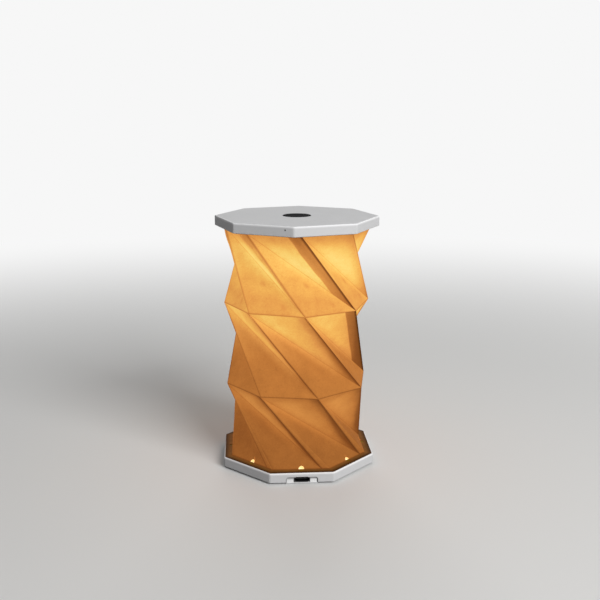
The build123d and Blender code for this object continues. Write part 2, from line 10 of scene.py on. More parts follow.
# %% Load the frame
import json
import bpy
import numpy as np
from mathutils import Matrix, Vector

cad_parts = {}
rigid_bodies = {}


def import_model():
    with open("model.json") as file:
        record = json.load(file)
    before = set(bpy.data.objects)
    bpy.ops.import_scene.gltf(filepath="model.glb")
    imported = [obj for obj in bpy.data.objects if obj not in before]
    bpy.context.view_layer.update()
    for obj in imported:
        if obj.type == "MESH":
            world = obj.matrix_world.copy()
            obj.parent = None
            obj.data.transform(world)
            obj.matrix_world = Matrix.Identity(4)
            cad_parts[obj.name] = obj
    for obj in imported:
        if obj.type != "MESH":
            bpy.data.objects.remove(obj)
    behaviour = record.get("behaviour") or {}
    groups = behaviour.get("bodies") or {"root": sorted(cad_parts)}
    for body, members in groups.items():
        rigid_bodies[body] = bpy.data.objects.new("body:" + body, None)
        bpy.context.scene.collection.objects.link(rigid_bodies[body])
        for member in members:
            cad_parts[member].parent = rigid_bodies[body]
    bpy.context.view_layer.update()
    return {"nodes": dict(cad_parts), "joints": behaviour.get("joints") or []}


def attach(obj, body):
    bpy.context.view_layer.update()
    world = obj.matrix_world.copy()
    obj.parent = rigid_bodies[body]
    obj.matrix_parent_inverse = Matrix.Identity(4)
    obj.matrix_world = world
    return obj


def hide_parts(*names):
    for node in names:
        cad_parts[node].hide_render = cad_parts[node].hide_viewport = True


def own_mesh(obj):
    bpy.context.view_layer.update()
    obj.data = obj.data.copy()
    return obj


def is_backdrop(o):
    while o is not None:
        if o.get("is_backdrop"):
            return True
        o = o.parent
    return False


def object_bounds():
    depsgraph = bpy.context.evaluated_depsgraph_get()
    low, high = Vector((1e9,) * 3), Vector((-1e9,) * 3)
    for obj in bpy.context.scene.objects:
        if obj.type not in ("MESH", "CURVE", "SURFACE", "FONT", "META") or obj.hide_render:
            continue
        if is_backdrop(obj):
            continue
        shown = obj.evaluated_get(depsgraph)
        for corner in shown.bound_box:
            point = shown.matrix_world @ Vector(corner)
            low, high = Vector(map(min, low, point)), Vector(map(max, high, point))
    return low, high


for leftover in list(bpy.data.objects):
    bpy.data.objects.remove(leftover)
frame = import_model()
MM = 0.001

# %% [markdown]
# ## Camera
#
# The camera's place was worked out from the corners of the plates and the ends of the creases, so that
# it sees the lamp at the photograph's angle. It could be aimed with a tracking constraint, but one
# direction written down says the same and needs no second object.

# %% The camera
CAMERA_AT = Vector((-0.03213, -0.49669, 0.20724))
CAMERA_LOOKS = Vector((0.0658, 0.9730, -0.2212))

camera_data = bpy.data.cameras.new("camera")
camera_data.sensor_width = 36
camera_data.lens = 53.25
camera_data.shift_x = 0.001
camera_data.clip_start = 0.01
camera = bpy.data.objects.new("camera", camera_data)
bpy.context.scene.collection.objects.link(camera)
camera.location = CAMERA_AT
camera.rotation_euler = CAMERA_LOOKS.to_track_quat("-Z", "Y").to_euler()
bpy.context.scene.camera = camera
print("camera lens, mm:", camera_data.lens)

# %% [markdown]
# ## A few helpers
#
# Shader nodes could be laid out by hand in the node editor. Written down instead, every number of a
# finish can be read and changed in one place. These helpers take plain numbers and colours as well as
# the outputs of other nodes, so a material reads like a sum, and they work in a material, in the world
# and inside a node group.

# %% Nodes
def fill(tree, socket, value):
    """Sets an input of a node, or links it where the value is another node's output."""
    if isinstance(value, bpy.types.NodeSocket):
        tree.links.new(value, socket)
    else:
        socket.default_value = value


def add_node(tree, kind, **inputs):
    """Adds a node. Its inputs are named with _ for spaces, or i0, i1 for a place in the list."""
    node = tree.nodes.new(kind)
    for name, value in inputs.items():
        placed = name[0] == "i" and name[1:].isdigit()
        fill(tree, node.inputs[int(name[1:]) if placed else name.replace("_", " ")], value)
    return node


def math(tree, operation, *values):
    """The output of a Math node."""
    node = tree.nodes.new("ShaderNodeMath")
    node.operation = operation
    for socket, value in zip(node.inputs, values):
        fill(tree, socket, value)
    return node.outputs[0]


def vector(tree, operation, *values):
    """The output of a Vector Math node: a vector, or a number where the operation gives a length."""
    node = tree.nodes.new("ShaderNodeVectorMath")
    node.operation = operation
    for socket, value in zip(node.inputs, values):
        fill(tree, socket, value)
    return node.outputs["Value" if operation == "LENGTH" else "Vector"]


def object_place(tree):
    """The place on the piece, in metres, which is the place in the lamp."""
    return add_node(tree, "ShaderNodeTexCoord").outputs["Object"]


print("node helpers ready")

# %% [markdown]
# A mesh could be drawn with Blender's own tools. Here every surface is a grid of points worked out in one
# go with numpy, because a formula says exactly where the paper is, and one helper turns such arrays into
# a mesh. A second one starts a material, whose shader then gets its nodes step by step.

# %% Meshes and materials
def new_piece(name, points, faces, materials):
    """A smooth shaded object from an array of points and a list of faces, with its materials."""
    mesh = bpy.data.meshes.new(name)
    mesh.from_pydata(np.asarray(points, float).tolist(), [], faces)
    mesh.polygons.foreach_set("use_smooth", [True] * len(mesh.polygons))
    for material in materials:
        mesh.materials.append(material)
    piece = bpy.data.objects.new(name, mesh)
    bpy.context.scene.collection.objects.link(piece)
    return piece


class Finish:
    """A material under construction: its node tree and its Principled shader."""

    def __init__(self, name, colour, roughness, **values):
        self.material = bpy.data.materials.new(name)
        self.material.use_nodes = True
        self.tree = self.material.node_tree
        self.shader = self.tree.nodes["Principled BSDF"]
        self.shader.inputs["Base Color"].default_value = (*colour, 1)
        self.shader.inputs["Roughness"].default_value = roughness
        for socket, value in values.items():
            self.shader.inputs[socket.replace("_", " ")].default_value = value

    def feed(self, socket, output):
        """Links an output to an input of the shader."""
        self.tree.links.new(output, self.shader.inputs[socket])


print("mesh and material helpers ready")

# %% [markdown]
# ## Studio light
#
# The lamp stands in a small studio: two large soft lamps, one on the right in front and a weaker one
# behind, and a world that fills the shadows. A picture of a real studio could light it too, but two
# lamps are a few numbers, and each can be moved by itself. Their light is low enough for the paper's own
# glow to show. Only the camera, reflections and clear pieces see the world as white, so the background
# is white and yet adds little light.

# %% Lamps and world
WORLD_LIGHT = 0.17
BACKGROUND = (0.93, 0.93, 0.93, 1)
LAMPS_AIM = Vector((0, 0, 0.07))


def soft_lamp(name, place, size, watts):
    """A square area lamp at a place, facing the middle of the shade."""
    data = bpy.data.lights.new(name, "AREA")
    data.size = size
    data.energy = watts
    lamp = bpy.data.objects.new(name, data)
    bpy.context.scene.collection.objects.link(lamp)
    lamp.location = place
    lamp.rotation_euler = (LAMPS_AIM - Vector(place)).to_track_quat("-Z", "Y").to_euler()
    return lamp


def shown_as(tree, lights, shown):
    """Mixes two shaders: the first lights the object, and the camera and reflections see the second."""
    rays = add_node(tree, "ShaderNodeLightPath").outputs
    seen = math(tree, "MAXIMUM", rays["Is Glossy Ray"], rays["Is Transmission Ray"])
    seen = math(tree, "MAXIMUM", rays["Is Camera Ray"], seen)
    return add_node(tree, "ShaderNodeMixShader", i0=seen, i1=lights, i2=shown).outputs[0]


soft_lamp("key_light", (0.68, -1.03, 0.80), 0.8, 18.6)
soft_lamp("back_light", (0.05, 1.35, 0.6), 0.9, 6.0)

world = bpy.data.worlds.new("studio")
bpy.context.scene.world = world
world.use_nodes = True
tree = world.node_tree
tree.nodes.clear()
level_light = add_node(tree, "ShaderNodeBackground", Color=(1, 1, 1, 1), Strength=WORLD_LIGHT).outputs[0]
white_wall = add_node(tree, "ShaderNodeBackground", Color=BACKGROUND).outputs[0]
add_node(tree, "ShaderNodeOutputWorld", Surface=shown_as(tree, level_light, white_wall))
bpy.context.scene.view_settings.view_transform = "Standard"

# %% [markdown]
# ## The floor
#
# A round pale floor. Near the lamp it is an ordinary matt surface, so it shows the lamp's shadow and the
# warm light from the paper. Further out the camera sees it turn into the white of the background, which
# leaves no horizon. A backdrop that curves up behind the lamp would do that too, but only from one side.
# The floor throws less light back than its pale colour says, which keeps the lower edges and the far
# sides of the white plates readable.

# %% Floor
FLOOR_R = 4.0
FLOOR_PALE = (0.76, 0.76, 0.75)
FLOOR_GIVES_BACK = (0.42, 0.42, 0.42, 1)
FADE_FROM, FADE_TO = 0.22, 0.9


def floor_disc(rings=24, spokes=96):
    """A disc: radius grows with the ring number squared, angle with the spoke number."""
    radius = FLOOR_R * (np.arange(1, rings + 1) / rings) ** 2
    angle = 2 * np.pi * np.arange(spokes) / spokes
    r, a = np.meshgrid(radius, angle, indexing="ij")
    points = np.stack([r * np.cos(a), r * np.sin(a), 0 * r], -1).reshape(-1, 3)
    here = np.arange(rings * spokes).reshape(rings, spokes)
    after = np.roll(here, -1, axis=1)
    quads = np.stack([here[:-1], here[1:], after[1:], after[:-1]], -1).reshape(-1, 4)
    middle = here[0].tolist()
    return points, [middle] + quads.tolist()


pale = Finish("pale_floor", FLOOR_PALE, 0.9)
tree = pale.tree
reach = vector(tree, "LENGTH", object_place(tree))
fade = add_node(tree, "ShaderNodeMapRange", Value=reach, From_Min=FADE_FROM, From_Max=FADE_TO)
fade.interpolation_type = "SMOOTHSTEP"
gives_back = add_node(tree, "ShaderNodeBsdfDiffuse", Color=FLOOR_GIVES_BACK).outputs[0]
far_white = add_node(tree, "ShaderNodeEmission", Color=BACKGROUND).outputs[0]
near = shown_as(tree, gives_back, pale.shader.outputs[0])
far = shown_as(tree, gives_back, far_white)
surface = add_node(tree, "ShaderNodeMixShader", i0=fade.outputs[0], i1=near, i2=far)
tree.links.new(surface.outputs[0], tree.nodes["Material Output"].inputs["Surface"])
floor = new_piece("floor", *floor_disc(), [pale.material])
floor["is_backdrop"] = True
print("floor radius, m:", FLOOR_R)

# %% [markdown]
# ## The folded paper
#
# The shade is one sheet, creased and glued into a tube, then twisted shut in three tiers. Between two
# levels it is a ring of flat triangles. Each triangle has one edge on a level crease and its tip on the
# level above or below. Two slanting creases leave each tip: the shorter one stands out and the longer one
# folds in. The form could be modelled by eye or folded in a simulation. But all of it follows from the
# angles of the crease ends at four levels, and the same numbers made the solid that this piece replaces.

# %% Where the creases end
SIDES = 8
STEP = 360 / SIDES
PLATE_FLATS = 86.0 * MM
PAPER_FLATS = 76.9 * MM
PAPER_R = PAPER_FLATS / 2 / np.cos(np.radians(STEP / 2))
LEVELS = np.array([6.7, 48.1, 94.1, 137.3]) * MM
TURNS = (151.5, 102.5, 47.5, 0.0)
FOOT_CORNER, HEAD_CORNER = 157.5, 39.5


def ring(turn, level, on_plate=False):
    """Eight points an eighth of a turn apart, counted from the front. On a plate they are on the glued
    octagon's sides, and elsewhere at its corners' radius."""
    angle = np.radians(turn + STEP * np.arange(SIDES))
    slip = np.radians((turn - (FOOT_CORNER if level == 0 else HEAD_CORNER)) % STEP - STEP / 2)
    radius = PAPER_FLATS / 2 / np.cos(slip) if on_plate else PAPER_R
    return np.stack([radius * np.sin(angle), -radius * np.cos(angle), 0 * angle + LEVELS[level]], -1)


TOP = len(LEVELS) - 1
CREASE_ENDS = [ring(turn, level, level in (0, TOP)) for level, turn in enumerate(TURNS)]
FOOT_CORNERS = ring(FOOT_CORNER, 0)
HEAD_CORNERS = ring(HEAD_CORNER, TOP)
print("crease ends per level:", [len(ends) for ends in CREASE_ENDS])

# %% [markdown]
# Each triangle becomes a grid: one parameter runs along its level edge and the other from there to its
# tip. One flat face would give the form as well, but the waves and the brightness need points inside it.
# Small half-round bites are cut where the sheet turns out on to the base, one at the middle of each
# side. They could be cut with a boolean, which leaves ragged faces, so those columns start higher.

# %% The triangles as grids
ROWS = 36
COLUMNS = np.linspace(0, 1, 21)
SHORT = np.linspace(0, 1, 4)
BITE_R = 1.65 * MM
BITE_REACH = 8.0 * MM
LIFT_REACH = 5.0 * MM


class Panel:
    """One triangle of the sheet, repeated round the lamp: its tip, the ends of its level edge, where
    its grid's columns are, and the creases beside it. Each point is an array of eight."""

    def __init__(self, tip, start, end, ridge, valley, columns=COLUMNS, bite=None):
        self.tip, self.start, self.end = tip, start, end
        self.ridge, self.valley = ridge, valley
        self.columns, self.bite = columns, bite
        square = np.cross(end - start, tip - start)
        outward = np.sign((square * (tip + start + end))[:, :2].sum(1, keepdims=True))
        self.normal = outward * square / np.linalg.norm(square, axis=1, keepdims=True)

    def grid(self):
        """Points by side, column and row: a straight run along the edge, then straight up to the tip."""
        edge = self.start[:, None] + self.columns[None, :, None] * (self.end - self.start)[:, None]
        up = np.linspace(0, 1, ROWS + 1)[None, None, :, None]
        points = edge[:, :, None] * (1 - up) + self.tip[:, None, None] * up
        return points if self.bite is None else points + self.round_the_bite(edge, points)

    def round_the_bite(self, edge, points):
        """Shifts near a bite. The edge rises by the height of the half circle, and the columns start
        upright instead of leaning to the tip, so none crosses it. Both fade out a few mm higher."""
        along, lift = self.bite
        run = (self.end - self.start) / np.linalg.norm(self.end - self.start, axis=1, keepdims=True)
        slope = self.tip - self.start
        slope = slope - (slope * run).sum(1, keepdims=True) * run
        slope, run = (slope / slope[:, 2:])[:, None, None], run[:, None, None]
        rise = points[..., 2:] - LEVELS[0]
        lean = ((edge[:, :, None] - points) * run).sum(-1, keepdims=True)
        near = (np.clip(1 - (along / BITE_REACH) ** 2, 0, 1))[None, :, None, None]
        upright = lean * near * np.clip(1 - rise / BITE_REACH, 0, 1) ** 2
        raised = lift[None, :, None, None] * np.clip(1 - rise / LIFT_REACH, 0, 1) ** 2
        return run * upright + slope * raised


print("a panel's grid:", len(COLUMNS), "by", ROWS + 1, "points")

# %% [markdown]
# A bite is a half circle 3.3 mm across. Even columns would need to be very many to show it round, so the
# foot panel's own columns are bunched on it and even on both sides.

# %% Columns round a bite
def bitten_columns():
    """Columns of the foot panel: even on both sides of the bite, and bunched on its half circle. Also
    how far each is from the side's middle, and how high the half circle is there."""
    corner = -PAPER_FLATS / 2 * np.tan(np.radians(STEP / 2))
    crease = PAPER_FLATS / 2 * np.tan(np.radians(STEP / 2 - (FOOT_CORNER - TURNS[0])))
    arc = -BITE_R * np.cos(np.linspace(0, np.pi, 13))
    along = np.concatenate([np.linspace(corner, -BITE_R, 9)[:-1], arc, np.linspace(BITE_R, crease, 8)[1:]])
    lift = np.sqrt(np.clip(BITE_R**2 - along**2, 0, None))
    return (along - corner) / (crease - corner), (along, lift)


print("columns of a foot panel:", len(bitten_columns()[0]))

# %% [markdown]
# A tier holds two rings of panels, those that stand on its lower edge and those that hang from its upper
# one. The top and the bottom tier could be modelled apart, because there the edge follows the plate's
# octagon and turns a corner. It is simpler to give them one more panel on that edge.

# %% Three tiers of panels
def tier_panels(level):
    """The panels between a level and the next: those that stand on the lower edge, then those that
    hang from the upper one. At the base and the lid the edge turns a corner, so there are two."""
    low, high = CREASE_ENDS[level], CREASE_ENDS[level + 1]
    low_next, high_next = np.roll(low, -1, 0), np.roll(high, -1, 0)
    ridge, valley = (high, low), (high, low_next)
    ridge_next = (high_next, low_next)
    if level == 0:
        columns, bite = bitten_columns()
        standing = [
            Panel(high, low, FOOT_CORNERS, ridge, valley, SHORT),
            Panel(high, FOOT_CORNERS, low_next, ridge, valley, columns, bite),
        ]
    else:
        standing = [Panel(high, low, low_next, ridge, valley)]
    if level + 1 == TOP:
        hanging = [
            Panel(low_next, high, HEAD_CORNERS, ridge_next, valley),
            Panel(low_next, HEAD_CORNERS, high_next, ridge_next, valley, SHORT),
        ]
    else:
        hanging = [Panel(low_next, high, high_next, ridge_next, valley)]
    return standing, hanging


STANDING, HANGING = [], []
for level in range(TOP):
    standing, hanging = tier_panels(level)
    STANDING += standing
    HANGING += hanging
PANELS = STANDING + HANGING
print("kinds of panel:", len(PANELS), "each", SIDES, "times")

# %% [markdown]
# Folded paper is never quite flat: damp, glue and handling leave shallow waves in each panel. A bump map
# could fake them, but it would not change the light that falls on the inside. They are made as a sum of
# a few slow sine waves through space, held down to nothing at the creases, where the fold keeps the
# sheet straight.

# %% Waves in the paper
WAVE_COUNT = 14
WAVE_HEIGHT = 0.09 * MM
SHORTEST_WAVE, LONGEST_WAVE = 7, 26
random = np.random.default_rng(8)
directions = random.normal(size=(WAVE_COUNT, 3))
directions /= np.linalg.norm(directions, axis=1, keepdims=True)
LENGTHS = random.uniform(SHORTEST_WAVE, LONGEST_WAVE, WAVE_COUNT) * MM
WAVES = directions * (2 * np.pi / LENGTHS)[:, None]
PHASES = random.uniform(0, 2 * np.pi, WAVE_COUNT)


def waves(points):
    """Height of the waves at each point, and the slope of that height in x, y and z: each wave is a
    sine of the distance along its own direction, so its slope is the cosine times that direction."""
    along = points @ WAVES.T + PHASES
    return WAVE_HEIGHT * np.sin(along).sum(-1), WAVE_HEIGHT * np.cos(along) @ WAVES


print("waves up to, mm:", round(WAVE_COUNT * WAVE_HEIGHT / MM, 2))

# %% [markdown]
# Each point keeps how far it is from the three creases round its panel. That holds the waves down here,
# and later it draws the creases' lines. The grid's rows and columns could stand for it, but they come
# closer together towards the tip, so true distances in millimetres are used.

# %% Distances to the creases
HELD_WITHIN = 5 * MM


def eased(share):
    """A share from zero to one that starts and ends gently: three times its square less twice its cube."""
    share = np.clip(share, 0, 1)
    return share * share * (3 - 2 * share)


def distance_to_line(points, line):
    """Distance of each grid point to the line through two ends, for the eight sides at once."""
    a, b = (end[:, None, None] for end in line)
    way = (b - a) / np.linalg.norm(b - a, axis=-1, keepdims=True)
    return np.linalg.norm(np.cross(points - a, way), axis=-1)


def crease_distances(panel, points):
    """How far each point is from the ridge, the valley and the nearest level crease, measured in the
    panel. The ridge's distance is negative on a hanging panel, so that its two sides can differ."""
    ridge = distance_to_line(points, panel.ridge)
    valley = distance_to_line(points, panel.valley)
    steep = np.sqrt(1 - panel.normal[:, 2] ** 2)[:, None, None]
    level = np.abs(points[..., 2] - panel.start[0, 2]) / steep
    return np.stack([ridge if panel in STANDING else -ridge, valley, level], -1)


for panel in PANELS:
    flat = panel.grid()
    panel.creases = crease_distances(panel, flat)
    held = eased(np.abs(panel.creases).min(-1) / HELD_WITHIN)
    height, slope = waves(flat)
    panel.points = flat + (height * held)[..., None] * panel.normal[:, None, None]
    panel.tilt = panel.normal[:, None, None] - slope * held[..., None]
    panel.tilt /= np.linalg.norm(panel.tilt, axis=-1, keepdims=True)
print("farthest from a crease, mm:", round(max(np.abs(p.creases).min(-1).max() for p in PANELS) / MM, 1))

# %% [markdown]
# The flat sheet closes into a tube with one overlap, glued along the hanging panels of one side. A second
# strip of paper could lie there, but it is too thin to stand out: what shows is that less light comes
# through. So how strongly it shows is stored on those panels as a number, more in the two lower tiers
# than in the top one, and none elsewhere.

# %% The glued overlap
OVERLAP_SIDE = 7
OVERLAP_SHOWS = {LEVELS[1]: 1.4, LEVELS[2]: 1.4, LEVELS[3]: 1.0}
for panel in PANELS:
    panel.overlap = np.zeros(panel.points.shape[:-1])
for panel in HANGING:
    panel.overlap[OVERLAP_SIDE] = OVERLAP_SHOWS[panel.start[0, 2]]
print("panels with the overlap:", len(HANGING))

# %% [markdown]
# ## How bright the paper is
#
# The glow could be left to the renderer, with lights inside and a translucent shader. That is noisy, and
# it is lost when the model leaves this file. Here the light that falls on the inside of the paper is
# worked out once and stored on the mesh. The lights sit behind a frosted cup under the lid, so panels
# that look up are bright, panels that look down are dim, and each inward fold throws a shadow on the
# paper beyond it. Rays find those shadows. They are tested against the flat panels and not the wavy
# grids, because numpy can try all of these few walls at once.

# %% Rays against the flat panels
WALLS = np.concatenate([np.stack([panel.tip, panel.start, panel.end], 1) for panel in PANELS])
WALL_NORMALS = np.cross(WALLS[:, 1] - WALLS[:, 0], WALLS[:, 2] - WALLS[:, 0])
WALL_NORMALS /= np.linalg.norm(WALL_NORMALS, axis=1, keepdims=True)
WALL_AT = (WALL_NORMALS * WALLS[:, 0]).sum(1)
SIDEWAYS = [np.cross(WALL_NORMALS, WALLS[:, (n + 1) % 3] - WALLS[:, n]) for n in range(3)]
LIMITS = [(SIDEWAYS[n] * WALLS[:, n]).sum(1) for n in range(3)]
RAYS_AT_ONCE = 40000
LEAST_RUN = 0.4 * MM
LEAST_FACING = 1e-9


def run_of(starts, ways):
    """How far each ray runs before it meets a panel. A ray meets a panel's plane at one distance, and
    the panel itself if that point is on the inner side of its three edges."""
    runs = []
    for first in range(0, len(starts), RAYS_AT_ONCE):
        start, way = starts[first:first + RAYS_AT_ONCE], ways[first:first + RAYS_AT_ONCE]
        facing = way @ WALL_NORMALS.T
        facing[np.abs(facing) < LEAST_FACING] = LEAST_FACING
        run = (WALL_AT - start @ WALL_NORMALS.T) / facing
        met = run > LEAST_RUN
        for sideways, limit in zip(SIDEWAYS, LIMITS):
            met &= start @ sideways.T + run * (way @ sideways.T) > limit
        runs.append(np.where(met, run, np.inf).min(1))
    return np.concatenate(runs)


print("flat walls in the way of the light:", len(WALLS))

# %% [markdown]
# The frosted cup is a round white face with a low wall, lit evenly from behind. A single point in its
# middle could stand for it, but each fold would then throw a hard shadow. Points spread over the face
# and the wall make the shadows' edges as soft as a lamp of that width does.

# %% Light straight from the frosted cup
CUP_R, CUP_LOW, CUP_H = 14 * MM, 134.6 * MM, 3.0 * MM
CUP_RINGS, CUP_SPOKES = 6, 16
CUP_WALL_SHARE = 0.55
NEAR_CUP = 0.5 * MM
OFF_PAPER = 0.25 * MM


def cup_points():
    """Points spread evenly over the cup's face and one ring on its wall, the way that each faces, and
    the area that it stands for. The wall is dimmer than the face."""
    angle = np.radians(360 / CUP_SPOKES * (np.arange(CUP_SPOKES) + 0.5))
    around = np.stack([np.sin(angle), -np.cos(angle), 0 * angle], -1)
    radius = CUP_R * np.sqrt((np.arange(CUP_RINGS) + 0.5) / CUP_RINGS)
    face = (radius[:, None, None] * around).reshape(-1, 3) + [0, 0, CUP_LOW]
    wall = CUP_R * around + [0, 0, CUP_LOW + CUP_H / 2]
    facing = np.concatenate([np.tile([0.0, 0, -1], (len(face), 1)), around])
    face_area = np.pi * CUP_R**2 / len(face)
    wall_area = 2 * np.pi * CUP_R * CUP_H / len(wall) * CUP_WALL_SHARE
    return np.concatenate([face, wall]), facing, np.repeat([face_area, wall_area], [len(face), len(wall)])


def straight_light(points, inward):
    """Light that reaches the inside from the cup: the area of each of its points, times the two cosines,
    over pi times the distance squared, where no panel is in the way."""
    cup, facing, area = cup_points()
    way = cup[None] - points[:, None]
    far = np.linalg.norm(way, axis=-1)
    way /= far[..., None]
    falls = np.clip((way * inward[:, None]).sum(-1), 0, None)
    leaves = np.clip(-(way * facing[None]).sum(-1), 0, None)
    starts = np.repeat(points, len(cup), 0)
    clear = run_of(starts, way.reshape(-1, 3)).reshape(far.shape) > far - NEAR_CUP
    return (clear * falls * leaves * area / (np.pi * far**2)).sum(1)


def one_side(name):
    """A grid that every panel holds, for the first of the eight sides, as one flat list."""
    return np.concatenate([getattr(panel, name)[0].reshape(-1, 3) for panel in PANELS])


INWARD = -one_side("tilt")
INSIDE = one_side("points") + OFF_PAPER * INWARD
STRAIGHT = straight_light(INSIDE, INWARD)
print("straight light, least and most:", STRAIGHT.min().round(4), STRAIGHT.max().round(4))

# %% [markdown]
# Most of the glow low down is light that the paper has already thrown back and forth. Each point looks
# out in a few dozen directions, more of them straight ahead, and takes the brightness that the paper has
# at the height where each look lands. Every look could instead be followed through many bounces, which
# is exact but slow. The lamp is nearly the same all round, so the height is enough.

# %% Where each point's looks land
LOOKS = 72
FARTHEST = 1.0


def look_heights(points, inward):
    """The height at which each of a point's looks lands. The looks are a sunflower pattern on a disc,
    lifted on to the half sphere above it, which favours the middle as much as the light does."""
    turn = np.arange(LOOKS) * np.pi * (3 - np.sqrt(5))
    out = np.sqrt((np.arange(LOOKS) + 0.5) / LOOKS)
    local = np.stack([out * np.cos(turn), out * np.sin(turn), np.sqrt(1 - out**2)], -1)
    across = np.cross(inward, [0, 0, 1.0])
    across /= np.linalg.norm(across, axis=1, keepdims=True)
    frames = np.stack([across, np.cross(inward, across), inward], 1)
    ways = np.einsum("ls,psx->plx", local, frames)
    runs = run_of(np.repeat(points, LOOKS, 0), ways.reshape(-1, 3)).reshape(ways.shape[:2])
    return points[:, None, 2] + np.minimum(runs, FARTHEST) * ways[..., 2]


def areas(panel):
    """How much paper each grid point stands for: the width of its column, which narrows towards the
    tip, times the height of its row. Only shares matter, so height will do for the slant length."""
    edge = np.linalg.norm(panel.end[0] - panel.start[0])
    height = abs(panel.tip[0, 2] - panel.start[0, 2])
    narrows = 1 + 0.5 / ROWS - np.linspace(0, 1, ROWS + 1)
    return (edge * height / ROWS * np.gradient(panel.columns)[:, None] * narrows).ravel()


AREAS = np.concatenate([areas(panel) for panel in PANELS])
HEIGHTS = look_heights(INSIDE, INWARD)
print("looks that land on the base:", int((HEIGHTS < LEVELS[0]).sum()), "of", HEIGHTS.size)

# %% [markdown]
# What a point gets depends on how bright the rest is, and that depends on the point in turn. One large
# system of equations would answer it at once. Rounds are simpler: each starts from the light of the
# round before, and as paper gives back only a part of it, the rounds differ less and less, and five are
# enough. Looks that land on the base see its deck, which is lit by the cup and the lowest paper.

# %% Rounds of light
SHADE_H = LEVELS[-1] - LEVELS[0]
ROUNDS = 5
PAPER_GIVES_BACK, DECK_GIVES_BACK = 0.75, 0.3
DECK_BANDS = 9
BANDS = np.linspace(LEVELS[0], LEVELS[-1], 27)
MIDDLES = (BANDS[1:] + BANDS[:-1]) / 2
DECK_STRAIGHT = CUP_R**2 / SHADE_H**2


def by_band(values):
    """The sum of a value over the paper in each band of height, by the area that each point stands for."""
    return np.histogram(INSIDE[:, 2], BANDS, weights=AREAS * values)[0]


band_areas = by_band(1.0)
light = STRAIGHT
for _ in range(ROUNDS):
    bands = by_band(light) / band_areas
    seen = PAPER_GIVES_BACK * np.interp(HEIGHTS, MIDDLES, bands)
    deck = DECK_GIVES_BACK * (DECK_STRAIGHT + bands[:DECK_BANDS].mean())
    light = STRAIGHT + np.where(HEIGHTS < LEVELS[0], deck, seen).mean(1)
print("light after", ROUNDS, "rounds, least and most:", light.min().round(4), light.max().round(4))

# %% [markdown]
# Rays alone make the light jump at an inward crease. Thick paper passes light on sideways, so the real
# step is soft. The whole glow could be blurred, but that would dull the shadows too, so only the points
# near such a crease are blended with the mean of those round them. After that, one stands for the light
# that only the brightest fiftieth of the points gets.

# %% Softer light at the inward creases
POINTS_AT_ONCE = 500
FULL_LIGHT_AT = 98


def turned(points, sides):
    """Points turned about the upright axis by that many eighths of a turn."""
    angle = np.radians(STEP * sides)
    spin = np.array([[np.cos(angle), np.sin(angle), 0], [-np.sin(angle), np.cos(angle), 0], [0, 0, 1]])
    return points @ spin


def softened(light, points, creases, spread=2.4 * MM, reach=7.0 * MM):
    """Light, blended near an inward crease with the mean round it, which is weighted by a bell curve of
    the distance and by area. Neighbours on the sides to the left and the right count too."""
    around = np.concatenate([turned(points, sides) for sides in (-1, 0, 1)])
    weight = np.tile(AREAS, 3)
    values = np.tile(light, 3)
    mean = np.empty_like(light)
    for first in range(0, len(points), POINTS_AT_ONCE):
        some = slice(first, first + POINTS_AT_ONCE)
        gap = ((points[some, None] - around) ** 2).sum(-1)
        bell = np.exp(-gap / (2 * spread**2)) * weight
        mean[some] = (bell * values).sum(1) / bell.sum(1)
    return light + eased(1 - creases[:, 1] / reach) * (mean - light)


light = softened(light, INSIDE, one_side("creases"))
LIGHT = light / np.percentile(light, FULL_LIGHT_AT)
ends = np.cumsum([panel.points[0, ..., 0].size for panel in PANELS])[:-1]
for panel, values in zip(PANELS, np.split(LIGHT, ends)):
    panel.light = np.tile(values.reshape(panel.points.shape[1:3]), (SIDES, 1, 1))
for word, group in (("standing", STANDING), ("hanging", HANGING)):
    print(word, [round(float(np.median(panel.light)), 3) for panel in group])

# %% [markdown]
# ## One sheet from all the grids
#
# Neighbouring grids end on the same points, so those are merged into one, which closes the sheet along
# every crease. Blender could merge them by distance afterwards. Done here, the list of merged points
# also says which grid point each corner of a face came from. That is needed, because the brightness and
# the distances go to the faces' corners: both sides of a crease have their own.

# %% Weaving the grids together
MERGE = 1e-7


def grid_faces(columns, rows, outward):
    """Quads of a grid of one side, and triangles for its last row, which shrinks to the tip."""
    here = np.arange(columns * (rows + 1)).reshape(columns, rows + 1)
    a, b, c, d = here[:-1, :-1], here[1:, :-1], here[1:, 1:], here[:-1, 1:]
    quads = np.stack([a, b, c, d], -1)[:, :-1].reshape(-1, 4)
    tips = np.stack([a, b, c], -1)[:, -1].reshape(-1, 3)
    return (quads, tips) if outward else (quads[:, ::-1], tips[:, ::-1])


def woven(panels):
    """All the panels' points as one list without doubles, the faces, and each corner's own point."""
    quads, tips, first = [], [], 0
    for panel in panels:
        columns = panel.points.shape[1]
        four, three = grid_faces(columns, ROWS, panel in STANDING)
        starts = first + columns * (ROWS + 1) * np.arange(SIDES)[:, None, None]
        quads.append((four[None] + starts).reshape(-1, 4))
        tips.append((three[None] + starts).reshape(-1, 3))
        first += SIDES * columns * (ROWS + 1)
    quads, tips = np.concatenate(quads), np.concatenate(tips)
    points = np.concatenate([panel.points.reshape(-1, 3) for panel in panels])
    _, kept, merged = np.unique(np.round(points / MERGE), axis=0, return_index=True, return_inverse=True)
    merged = merged.ravel()
    faces = merged[quads].tolist() + merged[tips].tolist()
    return points[kept], faces, np.concatenate([quads.ravel(), tips.ravel()])


sheet_points, sheet_faces, corners = woven(PANELS)
print("points:", len(sheet_points), "faces:", len(sheet_faces))

# %% [markdown]
# ## Paper finishes
#
# Heavy uncoated paper shows its fibres most when light comes through it: clouds a few millimetres
# across, finer mottling, and a few long fibres. A scan of real paper would show them too, but it would
# repeat, and lose its sharpness close by. Noise does neither. A node group makes the fibres once, from
# Object coordinates, and both sides of the sheet and the glued margins share it.

